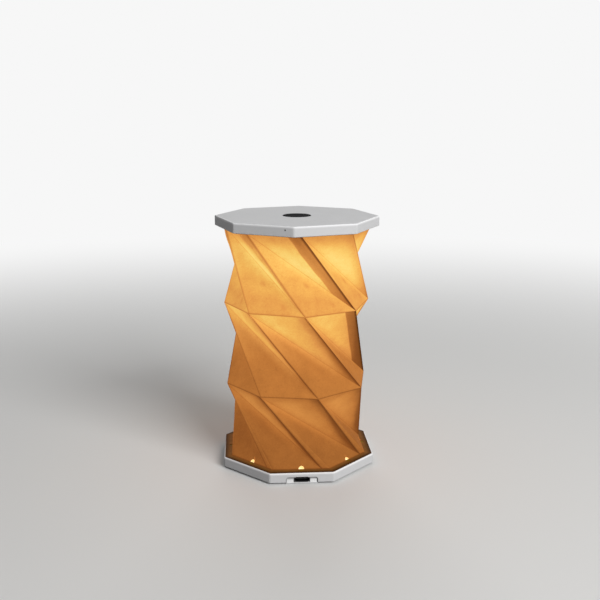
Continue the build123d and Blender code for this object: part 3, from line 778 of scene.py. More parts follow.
# %% Node groups
def new_group(name, inputs, outputs):
    """A node group with named inputs, each with its usual value, and named outputs."""
    group = bpy.data.node_groups.new(name, "ShaderNodeTree")
    for label, kind, value in inputs:
        socket = group.interface.new_socket(label, in_out="INPUT", socket_type=kind)
        socket.default_value = value
    for label, kind in outputs:
        group.interface.new_socket(label, in_out="OUTPUT", socket_type=kind)
    return group, group.nodes.new("NodeGroupInput"), group.nodes.new("NodeGroupOutput")


def use_group(tree, group, **inputs):
    """Places a node group in a material, with its own values, and gives its outputs."""
    node = tree.nodes.new("ShaderNodeGroup")
    node.node_tree = group
    for name, value in inputs.items():
        fill(tree, node.inputs[name.replace("_", " ")], value)
    return node.outputs


def scaled(tree, colour, tone):
    """A colour made lighter and darker by a tone round one."""
    node = tree.nodes.new("ShaderNodeVectorMath")
    node.operation = "SCALE"
    fill(tree, node.inputs[0], colour)
    fill(tree, node.inputs["Scale"], tone)
    return node.outputs["Vector"]


print("group helpers ready")

# %% The paper's fibres, as a node group
fibres, fibres_in, fibres_out = new_group(
    "paper_fibres",
    [("Cloud Depth", "NodeSocketFloat", 0.1), ("Fibre Depth", "NodeSocketFloat", 0.1)],
    [("Tone", "NodeSocketFloat"), ("Height", "NodeSocketFloat")],
)
place = object_place(fibres)
clouds = add_node(fibres, "ShaderNodeTexNoise", Vector=place, Scale=210.0, Detail=3.0, Roughness=0.55)
mottle = add_node(fibres, "ShaderNodeTexNoise", Vector=place, Scale=1100.0, Detail=4.0, Roughness=0.65)
bent = add_node(fibres, "ShaderNodeTexNoise", Vector=place, Scale=90.0, Detail=2.0)
place = vector(fibres, "ADD", place, scaled(fibres, bent.outputs["Color"], 0.02))
strands = add_node(fibres, "ShaderNodeTexNoise", Vector=place, Scale=420.0, Detail=1.0, Roughness=0.4)
strand_line = math(fibres, "ABSOLUTE", math(fibres, "SUBTRACT", strands.outputs["Fac"], 0.5))
strand = add_node(fibres, "ShaderNodeMapRange", Value=strand_line, From_Max=0.02, To_Min=1.0, To_Max=0.0)
cloud_tone = math(fibres, "SUBTRACT", clouds.outputs["Fac"], 0.5)
mottle_tone = math(fibres, "SUBTRACT", mottle.outputs["Fac"], 0.5)
mottle_tone = math(fibres, "MULTIPLY_ADD", strand.outputs[0], -0.35, mottle_tone)
tone = math(fibres, "MULTIPLY_ADD", cloud_tone, fibres_in.outputs["Cloud Depth"], 1.0)
tone = math(fibres, "MULTIPLY_ADD", mottle_tone, fibres_in.outputs["Fibre Depth"], tone)
height = math(fibres, "MULTIPLY_ADD", strand.outputs[0], 0.4, mottle.outputs["Fac"])
fibres.links.new(tone, fibres_out.inputs["Tone"])
fibres.links.new(height, fibres_out.inputs["Height"])
print("node group:", fibres.name)

# %% [markdown]
# A crease crushes the fibres, so less light comes through it. The creases that stand out have a thin
# dark line, a little to the side of the hanging panel. The creases that fold in and the level ones are
# fainter. Lines could be painted on an image, but this group reads distances stored on the corners, so
# they stay sharp at any size. It also gives out how crushed the paper is, which darkens its own brown.

# %% The creases' lines, as a node group
TIER_BLEND = 4 * MM

creased, creased_in, creased_out = new_group(
    "crease_lines",
    [
        ("Distances", "NodeSocketVector", (1, 1, 1)),
        ("Overlap", "NodeSocketFloat", 0.0),
        ("Line Depth Low", "NodeSocketFloat", 0.30),
        ("Line Depth High", "NodeSocketFloat", 0.2),
        ("Soft Depth Low", "NodeSocketFloat", 0.18),
        ("Soft Depth High", "NodeSocketFloat", 0.2),
        ("Wide Depth Low", "NodeSocketFloat", 0.21),
        ("Wide Depth High", "NodeSocketFloat", 0.0),
        ("Overlap Depth", "NodeSocketFloat", 0.3),
    ],
    [("Light", "NodeSocketFloat"), ("Crush", "NodeSocketFloat")],
)
parts = add_node(creased, "ShaderNodeSeparateXYZ", Vector=creased_in.outputs["Distances"])
beside_ridge, beside_valley, beside_level = parts.outputs
off_ridge = math(creased, "ABSOLUTE", beside_ridge)
hanging_side = math(creased, "LESS_THAN", beside_ridge, 0.0)
overlap = creased_in.outputs["Overlap"]
up_here = add_node(creased, "ShaderNodeSeparateXYZ", Vector=object_place(creased)).outputs["Z"]


def falls_off(tree, distance, reach, depth=1.0):
    """A depth at a line, falling smoothly to nothing at that distance from it."""
    node = add_node(tree, "ShaderNodeMapRange", Value=distance, From_Max=reach, To_Min=depth, To_Max=0.0)
    node.interpolation_type = "SMOOTHSTEP"
    return node.outputs[0]


def by_tier(depth):
    """A depth that is one of the group's inputs in the two lower tiers and another in the top one."""
    node = add_node(
        creased, "ShaderNodeMapRange", Value=up_here,
        From_Min=LEVELS[2] - TIER_BLEND, From_Max=LEVELS[2] + TIER_BLEND,
        To_Min=creased_in.outputs[depth + " Low"], To_Max=creased_in.outputs[depth + " High"],
    )
    return node.outputs[0]


print("group inputs:", len(creased_in.outputs) - 1)

# %% Sharp lines on the creases
LINE_W, LINE_ASIDE, OVERLAP_LINE = 1.3 * MM, 0.3 * MM, 0.42
VALLEY_W, VALLEY_DEPTH = 0.5 * MM, 0.12
LEVEL_W, LEVEL_DEPTH = 0.7 * MM, 0.26

line_depth = math(creased, "MULTIPLY_ADD", overlap, OVERLAP_LINE, by_tier("Line Depth"))
off_line = math(creased, "ABSOLUTE", math(creased, "ADD", beside_ridge, LINE_ASIDE))
crease_dark = falls_off(creased, off_line, LINE_W, line_depth)
valley_dark = falls_off(creased, beside_valley, VALLEY_W, VALLEY_DEPTH)
level_dark = falls_off(creased, beside_level, LEVEL_W, LEVEL_DEPTH)
for dark in (valley_dark, level_dark):
    crease_dark = math(creased, "MAXIMUM", crease_dark, dark)
creased.links.new(math(creased, "MULTIPLY", crease_dark, 2.0), creased_out.inputs["Crush"])
print("a crease's line is, mm:", LINE_W / MM)

# %% [markdown]
# A hanging panel also dims softly towards its standing-out crease and, in the two lower tiers, across
# its whole width. All the paper is a little dimmer just under the lid, and the doubled paper of the
# overlap is darker. All this could be painted by hand. Soft ramps on the same distances keep it even on
# all eight sides, and each is set by one width and one depth.

# %% Soft dimming and the overlap
SOFT_W = 7.0 * MM
LID_DIMS_H, LID_DIMS = 9.0 * MM, 0.09
OVERLAP_W, OVERLAP_EDGE = 6.4 * MM, 0.35 * MM

soft_dark = falls_off(creased, off_ridge, SOFT_W, by_tier("Soft Depth"))
across = math(creased, "DIVIDE", off_ridge, math(creased, "ADD", off_ridge, beside_valley))
soft_dark = math(creased, "ADD", soft_dark, falls_off(creased, across, 1.0, by_tier("Wide Depth")))
under_lid = falls_off(creased, math(creased, "SUBTRACT", LEVELS[3], up_here), LID_DIMS_H, LID_DIMS)
soft_dark = math(creased, "MULTIPLY_ADD", soft_dark, hanging_side, under_lid)
doubled = add_node(
    creased, "ShaderNodeMapRange", Value=beside_ridge,
    From_Min=-OVERLAP_W - OVERLAP_EDGE, From_Max=-OVERLAP_W + OVERLAP_EDGE,
)
doubled = math(creased, "MULTIPLY", doubled.outputs[0], math(creased, "MULTIPLY", overlap, hanging_side))
doubled_dark = math(creased, "MULTIPLY", doubled, creased_in.outputs["Overlap Depth"])
light_through = math(creased, "SUBTRACT", 1.0, crease_dark)
for dark in (soft_dark, doubled_dark):
    light_through = math(creased, "MULTIPLY", light_through, math(creased, "SUBTRACT", 1.0, dark))
creased.links.new(light_through, creased_out.inputs["Light"])
print("node group:", creased.name)

# %% [markdown]
# The paper's base colour is a dark warm brown, darker than the sheet is in daylight: painted shade, so
# that the studio light does not wash out the glow. What comes through it runs from deep orange where
# little light falls to pale yellow where most does, because thick warm paper takes the blue out of the
# light first. One colour made brighter and darker would look like tinted glass, so a ramp gives each
# brightness its own colour.

# %% The lit paper
# Painted shade: this base colour is darker than the sheet is in daylight, so the glow still shows.
PAPER_SHADED_BROWN = (0.13, 0.052, 0.010)
PAPER_MATT, PAPER_GLOSS = 0.85, 0.06
FIBRE_DEEP = 0.06 * MM
GLOW_CURVE, GLOW_GAIN = 0.42, 0.92
CRUSH_DARKENS = 0.3
GLOW_STOPS = [
    (0.00, (0.03, 0.008, 0.001)),
    (0.26, (0.17, 0.050, 0.011)),
    (0.43, (0.42, 0.150, 0.033)),
    (0.62, (0.66, 0.280, 0.067)),
    (0.74, (0.80, 0.420, 0.094)),
    (0.86, (0.88, 0.580, 0.145)),
    (1.00, (0.92, 0.700, 0.215)),
]


def glow_colour(tree, amount):
    """A colour ramp from little light to much."""
    ramp = add_node(tree, "ShaderNodeValToRGB", Fac=amount)
    stops = ramp.color_ramp.elements
    while len(stops) < len(GLOW_STOPS):
        stops.new(0.5)
    for stop, (at, colour) in zip(stops, GLOW_STOPS):
        stop.position, stop.color = at, (*colour, 1)
    return ramp.outputs["Color"]


def stored(tree, name, output="Fac"):
    """What the mesh's corners hold under a name, as one number or as a vector."""
    node = add_node(tree, "ShaderNodeAttribute")
    node.attribute_name = name
    return node.outputs[output]


def tint(finish, socket, colour, tone):
    """Feeds an input of the shader with a colour made lighter and darker by a tone round one."""
    finish.feed(socket, scaled(finish.tree, colour, tone))


def bump(finish, strength, deep, height):
    """Feeds Normal with a bump: how strong it is, how deep in metres, and where it is high."""
    node = add_node(finish.tree, "ShaderNodeBump", Strength=strength, Distance=deep, Height=height)
    finish.feed("Normal", node.outputs[0])


def paper_finish(name, gain):
    """Paper with its fibres and creases. The light that shows through it is the stored light to a
    power, times the tone of the fibres, what the creases let through, and a gain."""
    finish = Finish(name, PAPER_SHADED_BROWN, PAPER_MATT, Specular_IOR_Level=PAPER_GLOSS, Emission_Strength=gain)
    tree = finish.tree
    grain = use_group(tree, fibres, Cloud_Depth=0.15, Fibre_Depth=0.2)
    distances = stored(tree, "creases", "Vector")
    lines = use_group(tree, creased, Distances=distances, Overlap=stored(tree, "overlap"))
    amount = math(tree, "POWER", stored(tree, "light"), GLOW_CURVE)
    for share in (grain["Tone"], lines["Light"], GLOW_GAIN):
        amount = math(tree, "MULTIPLY", amount, share)
    finish.feed("Emission Color", glow_colour(tree, amount))
    worn = math(tree, "MULTIPLY_ADD", lines["Crush"], -CRUSH_DARKENS, 1.0)
    tint(finish, "Base Color", PAPER_SHADED_BROWN, math(tree, "MULTIPLY", grain["Tone"], worn))
    bump(finish, 0.25, FIBRE_DEEP, grain["Height"])
    return finish.material


lit_paper = paper_finish("lit_paper", 1.0)
inner_paper = paper_finish("lit_paper_inside", 2.2)
print("paper finishes:", lit_paper.name, inner_paper.name)

# %% [markdown]
# ## The paper shade
#
# The sheet could be modelled with both its sides. A Solidify modifier is shorter: it makes the inner
# side from the outer one, a paper's thickness further in, and gives it the inner finish. The stored
# light, distances and overlap go on the mesh as attributes.

# %% The shade
PAPER_T = 0.3 * MM
SHARP_FROM = np.radians(18)
FOLD = frame["joints"][0]["range_m"][1]


def store(mesh, name, kind, key):
    """Stores what every panel holds under a name on the faces' corners, where a material can read it."""
    grids = [getattr(panel, name) for panel in PANELS]
    values = np.concatenate([grid.reshape(-1, *grid.shape[3:]) for grid in grids])[corners]
    attribute = mesh.attributes.new(name, kind, "CORNER")
    attribute.data.foreach_set(key, values.astype(np.float32).ravel())


shade = new_piece("paper_shade", sheet_points, sheet_faces, [lit_paper, inner_paper])
store(shade.data, "light", "FLOAT", "value")
store(shade.data, "creases", "FLOAT_VECTOR", "vector")
store(shade.data, "overlap", "FLOAT", "value")
shade.data.set_sharp_from_angle(angle=SHARP_FROM)
wall = shade.modifiers.new("wall", "SOLIDIFY")
wall.thickness = PAPER_T
wall.offset = -1
wall.material_offset = 1
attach(shade, "shade")
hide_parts("pleated_shade")
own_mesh(shade)

# %% [markdown]
# ## The lead up to the lid
#
# A thin two-core lead takes the current from the base to the lights. It leaves the base straight up
# through its grommet, hangs inside the paper in a slack bow, and enters the lid beside the cup. Its fall
# could be simulated. A spline with a few control points gives such a bow in one smooth line, and it ends
# exactly where the lead is held. The slack crumples with the paper. Its free stretch rides with the
# shade, and its two ends stay one with the base and the other with the lid.

# %% The lead's route
LEAD_D = 1.8 * MM
LEAD_ROUTE = np.array([
    (0.0, -10.6, 2.8), (0.0, -10.6, 29.8), (-3.6, -6.2, 52.0), (-1.6, 3.6, 75.0),
    (6.4, 9.6, 98.0), (12.197, 11.985, 118.2), (12.197, 11.985, 139.7),
]) * MM


def spline_points(route):
    """Points along the smooth spline that the route controls, as Blender itself works them out."""
    curve = bpy.data.curves.new("lead_route", "CURVE")
    curve.dimensions = "3D"
    curve.resolution_u = 20
    spline = curve.splines.new("NURBS")
    spline.points.add(len(route) - 1)
    spline.points.foreach_set("co", np.column_stack([route, np.ones(len(route))]).ravel())
    spline.order_u = 3
    spline.use_endpoint_u = True
    holder = bpy.data.objects.new("lead_route", curve)
    bpy.context.scene.collection.objects.link(holder)
    mesh = bpy.data.meshes.new_from_object(holder)
    points = np.empty(3 * len(mesh.vertices))
    mesh.vertices.foreach_get("co", points)
    bpy.data.objects.remove(holder)
    bpy.data.curves.remove(curve)
    bpy.data.meshes.remove(mesh)
    return points.reshape(-1, 3)


def run_length(line):
    """The length of a line: the sum of the distances from each point to the next."""
    return float(np.linalg.norm(np.diff(line, axis=0), axis=1).sum())


LEAD_LINE = spline_points(LEAD_ROUTE)
print("lead's length, mm:", round(run_length(LEAD_LINE) / MM, 1))

# %% [markdown]
# Blender can give a curve a round bevel, which makes a tube of it at once. But this lead is cut at two
# exact heights, where its free stretch meets the ends that stay with the base and the lid. So the
# spline's points are cut there first, and a mesh is built round them.

# %% A tube along a line
def stretch(line, low, high):
    """The part of a rising line between two heights, with points at exactly those heights."""
    heights = np.concatenate([[low], line[(line[:, 2] > low) & (line[:, 2] < high), 2], [high]])
    return np.stack([np.interp(heights, line[:, 2], line[:, axis]) for axis in range(3)], -1)


def tube(line, radius, spokes=16):
    """A round tube with closed ends: at each point of the line a ring square to its direction there."""
    way = np.gradient(line, axis=0)
    way /= np.linalg.norm(way, axis=1, keepdims=True)
    across = np.cross(way, [1.0, 0, 0])
    across /= np.linalg.norm(across, axis=1, keepdims=True)
    beside = np.cross(way, across)
    angle = 2 * np.pi * np.arange(spokes) / spokes
    ring_ways = np.cos(angle)[:, None] * across[:, None] + np.sin(angle)[:, None] * beside[:, None]
    points = line[:, None] + radius * ring_ways
    here = np.arange(len(line) * spokes).reshape(len(line), spokes)
    after = np.roll(here, -1, axis=1)
    quads = np.stack([here[:-1], after[:-1], after[1:], here[1:]], -1).reshape(-1, 4)
    return points.reshape(-1, 3), quads.tolist() + [here[0, ::-1].tolist(), here[-1].tolist()]


print("tube helper ready")

# %% The lead
LEAD_FOOT, GROMMET_TOP = 2.8 * MM, 6.9 * MM
UNDER_CUP, LEAD_HEAD = 134.3 * MM, 139.7 * MM
FOLDED_GAP = 0.12 * MM

sheath = Finish("lead_sheath", (0.72, 0.70, 0.66), 0.5)
main_line = stretch(LEAD_LINE, GROMMET_TOP, UNDER_CUP)
lead = new_piece("lead_in_shade", *tube(main_line, LEAD_D / 2), [sheath.material])
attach(lead, "shade")
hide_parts("lamp_lead")
flat = 1 - (FOLD + FOLDED_GAP) / (UNDER_CUP - GROMMET_TOP)
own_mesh(lead)
for body, low, high in (("base", LEAD_FOOT, GROMMET_TOP), ("lid", UNDER_CUP, LEAD_HEAD)):
    end = new_piece("lead_in_" + body, *tube(stretch(LEAD_LINE, low, high), LEAD_D / 2), [sheath.material])
    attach(end, body)
print("free lead, mm:", round(run_length(main_line) / MM, 1), "folds to share:", round(flat, 4))

# %% [markdown]
# ## Moulded plastic and rubber
#
# The plates, the cover, the button and the small black pieces are all moulded. A mould is textured, so
# its pieces have a fine even grain, and their surface is never quite equally matt: it carries faint
# clouds from cooling and from hands. One node group makes grain and clouds, and each finish takes its
# own depth of both. The grain is bump, because it is far finer than any edge of the pieces.

# %% Moulded grain, as a node group
moulded, moulded_in, moulded_out = new_group(
    "moulded_grain",
    [
        ("Grain Size", "NodeSocketFloat", 2600.0),
        ("Tone Depth", "NodeSocketFloat", 0.04),
        ("Matt", "NodeSocketFloat", 0.5),
        ("Matt Depth", "NodeSocketFloat", 0.12),
    ],
    [("Tone", "NodeSocketFloat"), ("Roughness", "NodeSocketFloat"), ("Height", "NodeSocketFloat")],
)
place = object_place(moulded)
grain_size = moulded_in.outputs["Grain Size"]
grain = add_node(moulded, "ShaderNodeTexNoise", Vector=place, Scale=grain_size, Detail=2.0)
cooling = add_node(moulded, "ShaderNodeTexNoise", Vector=place, Scale=38.0, Detail=3.0, Roughness=0.6)
rubbed = add_node(moulded, "ShaderNodeTexNoise", Vector=place, Scale=120.0, Detail=4.0, Distortion=0.8)
clouds = math(moulded, "SUBTRACT", cooling.outputs["Fac"], 0.5)
speckle = math(moulded, "MULTIPLY", math(moulded, "SUBTRACT", grain.outputs["Fac"], 0.5), 0.7)
both = math(moulded, "ADD", clouds, speckle)
tone = math(moulded, "MULTIPLY_ADD", both, moulded_in.outputs["Tone Depth"], 1.0)
rub = math(moulded, "SUBTRACT", rubbed.outputs["Fac"], 0.5)
matt = math(moulded, "MULTIPLY_ADD", rub, moulded_in.outputs["Matt Depth"], moulded_in.outputs["Matt"])
moulded.links.new(tone, moulded_out.inputs["Tone"])
moulded.links.new(matt, moulded_out.inputs["Roughness"])
moulded.links.new(grain.outputs["Fac"], moulded_out.inputs["Height"])
print("node group:", moulded.name)

# %% [markdown]
# Each moulded piece could have its nodes laid out anew. One function with a few numbers keeps them alike
# where the real ones are alike, and shows where they differ: the plates are matt and white, the button
# is the blackest of all, and the rubber has a coarser and stronger grain than the plastic.

# %% Plastic and rubber finishes
GRAIN_DEEP = 0.02 * MM
PLATE_WHITE = (0.62, 0.62, 0.625)
PLATE_MATT, PLATE_GLOSS = 0.7, 0.09


def plastic(name, colour, matt, size=2600.0, depth=0.12, tone=0.05, **values):
    """A moulded finish: its colour, how matt it is, how fine its grain is and how strong its bump is,
    and how much its tone varies."""
    finish = Finish(name, colour, matt, **values)
    grain = use_group(finish.tree, moulded, Grain_Size=size, Tone_Depth=tone, Matt=matt)
    tint(finish, "Base Color", colour, grain["Tone"])
    finish.feed("Roughness", grain["Roughness"])
    bump(finish, depth, GRAIN_DEEP, grain["Height"])
    return finish


def dress(finish, *nodes):
    """Gives a finish to solid pieces of the frame, through their material slots."""
    for node in nodes:
        piece = frame["nodes"][node]
        if not piece.material_slots:
            piece.data.materials.append(finish.material)
        for holder in piece.material_slots:
            holder.material = finish.material


white = plastic(
    "white_plastic", PLATE_WHITE, PLATE_MATT, Specular_IOR_Level=PLATE_GLOSS, Emission_Strength=1.0
)
lid_white = plastic("white_plastic_lid", PLATE_WHITE, PLATE_MATT, Specular_IOR_Level=PLATE_GLOSS)
button = plastic("button_plastic", (0.006, 0.006, 0.007), 0.85, tone=0.2, Specular_IOR_Level=0.01)
chip = plastic("chip_plastic", (0.022, 0.022, 0.024), 0.42, size=4200.0, depth=0.25, tone=0.25)
feet = plastic("foot_rubber", (0.055, 0.055, 0.057), 0.8, size=1500.0, depth=0.35, tone=0.2)
grommet = plastic("grommet_rubber", (0.045, 0.045, 0.046), 0.75, size=1800.0, depth=0.3, tone=0.2)
dress(white, "base_shell")
dress(lid_white, "lid_shell")
dress(plastic("cover_plastic", (0.70, 0.70, 0.695), 0.55, depth=0.2), "base_cover")
dress(plastic("inner_plastic", (0.74, 0.74, 0.72), 0.6), "lid_plate")
dress(button, "power_button")
dress(plastic("switch_plastic", (0.045, 0.045, 0.047), 0.5, tone=0.15), "switch_body")
dress(plastic("plunger_plastic", (0.62, 0.62, 0.58), 0.45), "switch_plunger")
dress(chip, "charge_chips")
dress(plastic("tongue_plastic", (0.012, 0.012, 0.012), 0.45, tone=0.2), "usb_socket_tongue")
dress(feet, "rubber_feet")
dress(grommet, "lead_grommet")
moulded_names = [m.name for m in bpy.data.materials if m.name.endswith(("plastic", "rubber"))]
print("moulded finishes:", moulded_names)

# %% [markdown]
# ## Places on the octagon
#
# Some finishes below follow the octagon of the plates. The faces could be picked out by hand, but the
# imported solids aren't cut along those lines. So a node group measures how far out a point is, square to
# the nearest side, how far it is from the hole in the middle of that side, and how high it is. The lid
# sits turned on the shade, so the group can turn the place back first.

# %% Places on the octagon, as a node group
octagon, octagon_in, octagon_out = new_group(
    "octagon_places",
    [("Hole At", "NodeSocketFloat", PAPER_FLATS / 2), ("Turn", "NodeSocketFloat", 0.0)],
    [("Out", "NodeSocketFloat"), ("From Hole", "NodeSocketFloat"), ("Up", "NodeSocketFloat")],
)
turn_back = add_node(
    octagon, "ShaderNodeVectorRotate", Vector=object_place(octagon), Angle=octagon_in.outputs["Turn"]
)
turn_back.rotation_type = "Z_AXIS"
x, y, z = add_node(octagon, "ShaderNodeSeparateXYZ", Vector=turn_back.outputs[0]).outputs
# The slanting sides face along the sum and the difference of x and y, times the cosine of 45 degrees.
slanting = [math(octagon, "MULTIPLY", math(octagon, sign, x, y), 0.5**0.5) for sign in ("ADD", "SUBTRACT")]
out = math(octagon, "ABSOLUTE", x)
for along in (y, *slanting):
    out = math(octagon, "MAXIMUM", out, math(octagon, "ABSOLUTE", along))
radius2 = math(octagon, "MULTIPLY_ADD", x, x, math(octagon, "MULTIPLY", y, y))
beside2 = math(octagon, "SUBTRACT", radius2, math(octagon, "MULTIPLY", out, out))
beside2 = math(octagon, "MAXIMUM", beside2, 0.0)
past = math(octagon, "SUBTRACT", out, octagon_in.outputs["Hole At"])
from_hole = math(octagon, "SQRT", math(octagon, "MULTIPLY_ADD", past, past, beside2))
octagon.links.new(out, octagon_out.inputs["Out"])
octagon.links.new(from_hole, octagon_out.inputs["From Hole"])
octagon.links.new(z, octagon_out.inputs["Up"])
print("node group:", octagon.name)

# %% [markdown]
# ## The base and the lid
#
# Inside the shade the base's deck lies in the full light of the lamp, and through each bite in the paper
# a bright speck of it shows. A lamp could be put inside. But the glow of this paper is stored, so the
# deck's light is too: it is a warm emission as far out as the paper stands. The lower half of each bite
# shows the deck in shade, painted there as a dim olive.

# %% The deck, lit inside the shade
BASE_DECK = 6.4 * MM
LIT_TO = PAPER_FLATS / 2 - 1.1 * MM
SPARE = 0.1 * MM
BITE_SHADE_OLIVE = (0.20, 0.125, 0.006)
WARM_DECK = (0.88, 0.70, 0.29)


def mixed(tree, share, first, second):
    """A colour between two, each a colour or a node's output, by a share."""
    node = tree.nodes.new("ShaderNodeMix")
    node.data_type = "RGBA"
    fill(tree, node.inputs[0], share)
    for socket, colour in ((node.inputs[6], first), (node.inputs[7], second)):
        fill(tree, socket, colour if isinstance(colour, bpy.types.NodeSocket) else (*colour, 1))
    return node.outputs[2]


def lay_over(finish, share, colour):
    """Lays another colour over the one that feeds Base Color, where a mask is one."""
    under = finish.shader.inputs["Base Color"].links[0].from_socket
    finish.feed("Base Color", mixed(finish.tree, share, under, colour))


tree = white.tree
where = use_group(tree, octagon)
past_paper = math(tree, "GREATER_THAN", where["Out"], LIT_TO)
# Painted shade: the deck under the lower half of each bite is darkened to a dim olive.
in_bite_shade = math(tree, "LESS_THAN", where["From Hole"], BITE_R + SPARE)
lay_over(white, math(tree, "MULTIPLY", in_bite_shade, past_paper), BITE_SHADE_OLIVE)
on_deck = math(tree, "GREATER_THAN", where["Up"], BASE_DECK - SPARE)
inside = math(tree, "MULTIPLY", math(tree, "SUBTRACT", 1.0, past_paper), on_deck)
white.feed("Emission Color", mixed(tree, inside, (0, 0, 0), WARM_DECK))
print("the deck is lit out to, mm:", round(LIT_TO / MM, 2))

# %% [markdown]
# The charging socket lies in a low notch. The back of the notch is painted pale in its middle, as light,
# and dark under its upper edge and at its two ends, as the shade that falls there. It could be left to
# the light alone, but soft light hardly darkens so shallow a place. So two layers of painted light and
# shade follow its edges.

# %% The notch
FRONT = -PLATE_FLATS / 2
NOTCH_W, NOTCH_TOP = 17.8 * MM, 4.1 * MM
NOTCH_FROM, NOTCH_TO = FRONT + 0.12 * MM, FRONT + 1.0 * MM
NOTCH_SPARE = 0.05 * MM
NOTCH_PAINTED_LIGHT, NOTCH_PAINTED_SHADE = (0.86, 0.86, 0.86), (0.15, 0.15, 0.155)
SHADE_BELOW_TOP, SHADE_BY_ENDS = 2.2 * MM, 0.9 * MM

x, y, z = add_node(tree, "ShaderNodeSeparateXYZ", Vector=object_place(tree)).outputs
from_end = math(tree, "SUBTRACT", NOTCH_W / 2, math(tree, "ABSOLUTE", x))
from_top = math(tree, "SUBTRACT", NOTCH_TOP, z)
recessed = math(tree, "GREATER_THAN", math(tree, "MINIMUM", from_end, from_top), -NOTCH_SPARE)
recessed = math(tree, "MULTIPLY", recessed, math(tree, "GREATER_THAN", y, NOTCH_FROM))
recessed = math(tree, "MULTIPLY", recessed, math(tree, "LESS_THAN", y, NOTCH_TO))
at_top = falls_off(tree, math(tree, "ABSOLUTE", from_top), SHADE_BELOW_TOP)
at_end = falls_off(tree, math(tree, "ABSOLUTE", from_end), SHADE_BY_ENDS)
notch_shade = math(tree, "MULTIPLY", recessed, math(tree, "MAXIMUM", at_top, at_end))
# Painted light on the back of the notch, then painted shade under its top and at its ends.
lay_over(white, recessed, NOTCH_PAINTED_LIGHT)
lay_over(white, notch_shade, NOTCH_PAINTED_SHADE)
print("notch, mm:", NOTCH_W / MM, "wide")

# %% [markdown]
# The rims' upper edges are rounded, so they catch more light than the flat faces do. Their rounding alone
# is too small to show that, so a highlight is painted on them. The edge is where a point is near the side
# of the octagon and near the top at once, so one group finds it from the larger of those two distances,
# and lays the painted highlight over it on either plate.

# %% Painted highlights on the edges, as a node group
LID_TOP, LID_TURNED = 143.2 * MM, np.radians(-17.0)
EDGE_HIGHLIGHT_PAINT = (0.93, 0.93, 0.935)
edged, edged_in, edged_out = new_group(
    "painted_edge_highlights",
    [
        ("Turn", "NodeSocketFloat", 0.0),
        ("Top", "NodeSocketFloat", BASE_DECK),
        ("Reach", "NodeSocketFloat", 1.4 * MM),
    ],
    [("Edge", "NodeSocketFloat")],
)
where = use_group(edged, octagon, Turn=edged_in.outputs["Turn"])
from_side = math(edged, "ABSOLUTE", math(edged, "SUBTRACT", where["Out"], PLATE_FLATS / 2))
from_top = math(edged, "ABSOLUTE", math(edged, "SUBTRACT", where["Up"], edged_in.outputs["Top"]))
from_edge = math(edged, "MAXIMUM", from_side, from_top)
edged.links.new(falls_off(edged, from_edge, edged_in.outputs["Reach"]), edged_out.inputs["Edge"])
# Painted highlight: a paler colour along each rim's upper edge.
for finish, turn, top in ((white, 0.0, BASE_DECK), (lid_white, LID_TURNED, LID_TOP)):
    lay_over(finish, use_group(finish.tree, edged, Turn=turn, Top=top)["Edge"], EDGE_HIGHLIGHT_PAINT)
print("node group:", edged.name)

# %% [markdown]
# ## The glued margins
#
# Below and above the shade the same sheet turns outwards and is glued flat to each plate. No light comes
# through it there. It is coloured a dark brown, as painted shade, in the warm light that falls on it from
# the paper above, and painted shade makes it darker towards the rim. That light could be left to the
# renderer, but in many programs a glowing surface lights nothing round it, so a little of it is added
# here as emission.

# %% Margin paper
# Painted shade: the margin's brown is darker than the sheet is in daylight.
MARGIN_SHADED_BROWN = (0.085, 0.037, 0.007)
MARGIN_LIT = (0.115, 0.043, 0.010)
MARGIN_OUT = PLATE_FLATS / 2 - 0.7 * MM
RIM_W, RIM_SHADE_DEPTH = 3.4 * MM, 0.7

margin = Finish(
    "margin_paper", MARGIN_SHADED_BROWN, PAPER_MATT, Specular_IOR_Level=PAPER_GLOSS, Emission_Strength=1.0
)
tree = margin.tree
grain = use_group(tree, fibres, Cloud_Depth=0.5, Fibre_Depth=0.4)
from_rim = math(tree, "SUBTRACT", MARGIN_OUT, use_group(tree, octagon)["Out"])
# Painted shade: the margin darkens towards the rim.
rim_light = math(tree, "SUBTRACT", 1.0, falls_off(tree, from_rim, RIM_W, RIM_SHADE_DEPTH))
margin_tone = math(tree, "MULTIPLY", grain["Tone"], rim_light)
tint(margin, "Base Color", MARGIN_SHADED_BROWN, margin_tone)
tint(margin, "Emission Color", MARGIN_LIT, margin_tone)
bump(margin, 0.3, FIBRE_DEEP, grain["Height"])
dress(margin, "foot_collar", "head_collar")
print("margins dressed:", margin.material.name)

# %% [markdown]
# ## Metal
#
# The screws are zinc plated and the socket's shell is a dark metal. Plating shows as small crystals that
# shine a little differently from each other. A cell pattern gives each crystal its own brightness and
# its own roughness. Brushing lines could be drawn instead, but neither piece is brushed.

# %% Plated metal
plated, plated_in, plated_out = new_group(
    "plating_crystals",
    [
        ("Crystal Size", "NodeSocketFloat", 1800.0),
        ("Tone Depth", "NodeSocketFloat", 0.2),
        ("Matt", "NodeSocketFloat", 0.35),
        ("Matt Depth", "NodeSocketFloat", 0.15),
    ],
    [("Tone", "NodeSocketFloat"), ("Roughness", "NodeSocketFloat")],
)
place = object_place(plated)
crystals = add_node(plated, "ShaderNodeTexVoronoi", Vector=place, Scale=plated_in.outputs["Crystal Size"])
stained = add_node(plated, "ShaderNodeTexNoise", Vector=place, Scale=300.0, Detail=3.0)
each = add_node(plated, "ShaderNodeSeparateXYZ", Vector=crystals.outputs["Color"])
own_tone = math(plated, "MULTIPLY_ADD", each.outputs[0], 0.5, stained.outputs["Fac"])
own_tone = math(plated, "SUBTRACT", own_tone, 0.75)
own_matt = math(plated, "SUBTRACT", each.outputs[1], 0.5)
tone = math(plated, "MULTIPLY_ADD", own_tone, plated_in.outputs["Tone Depth"], 1.0)
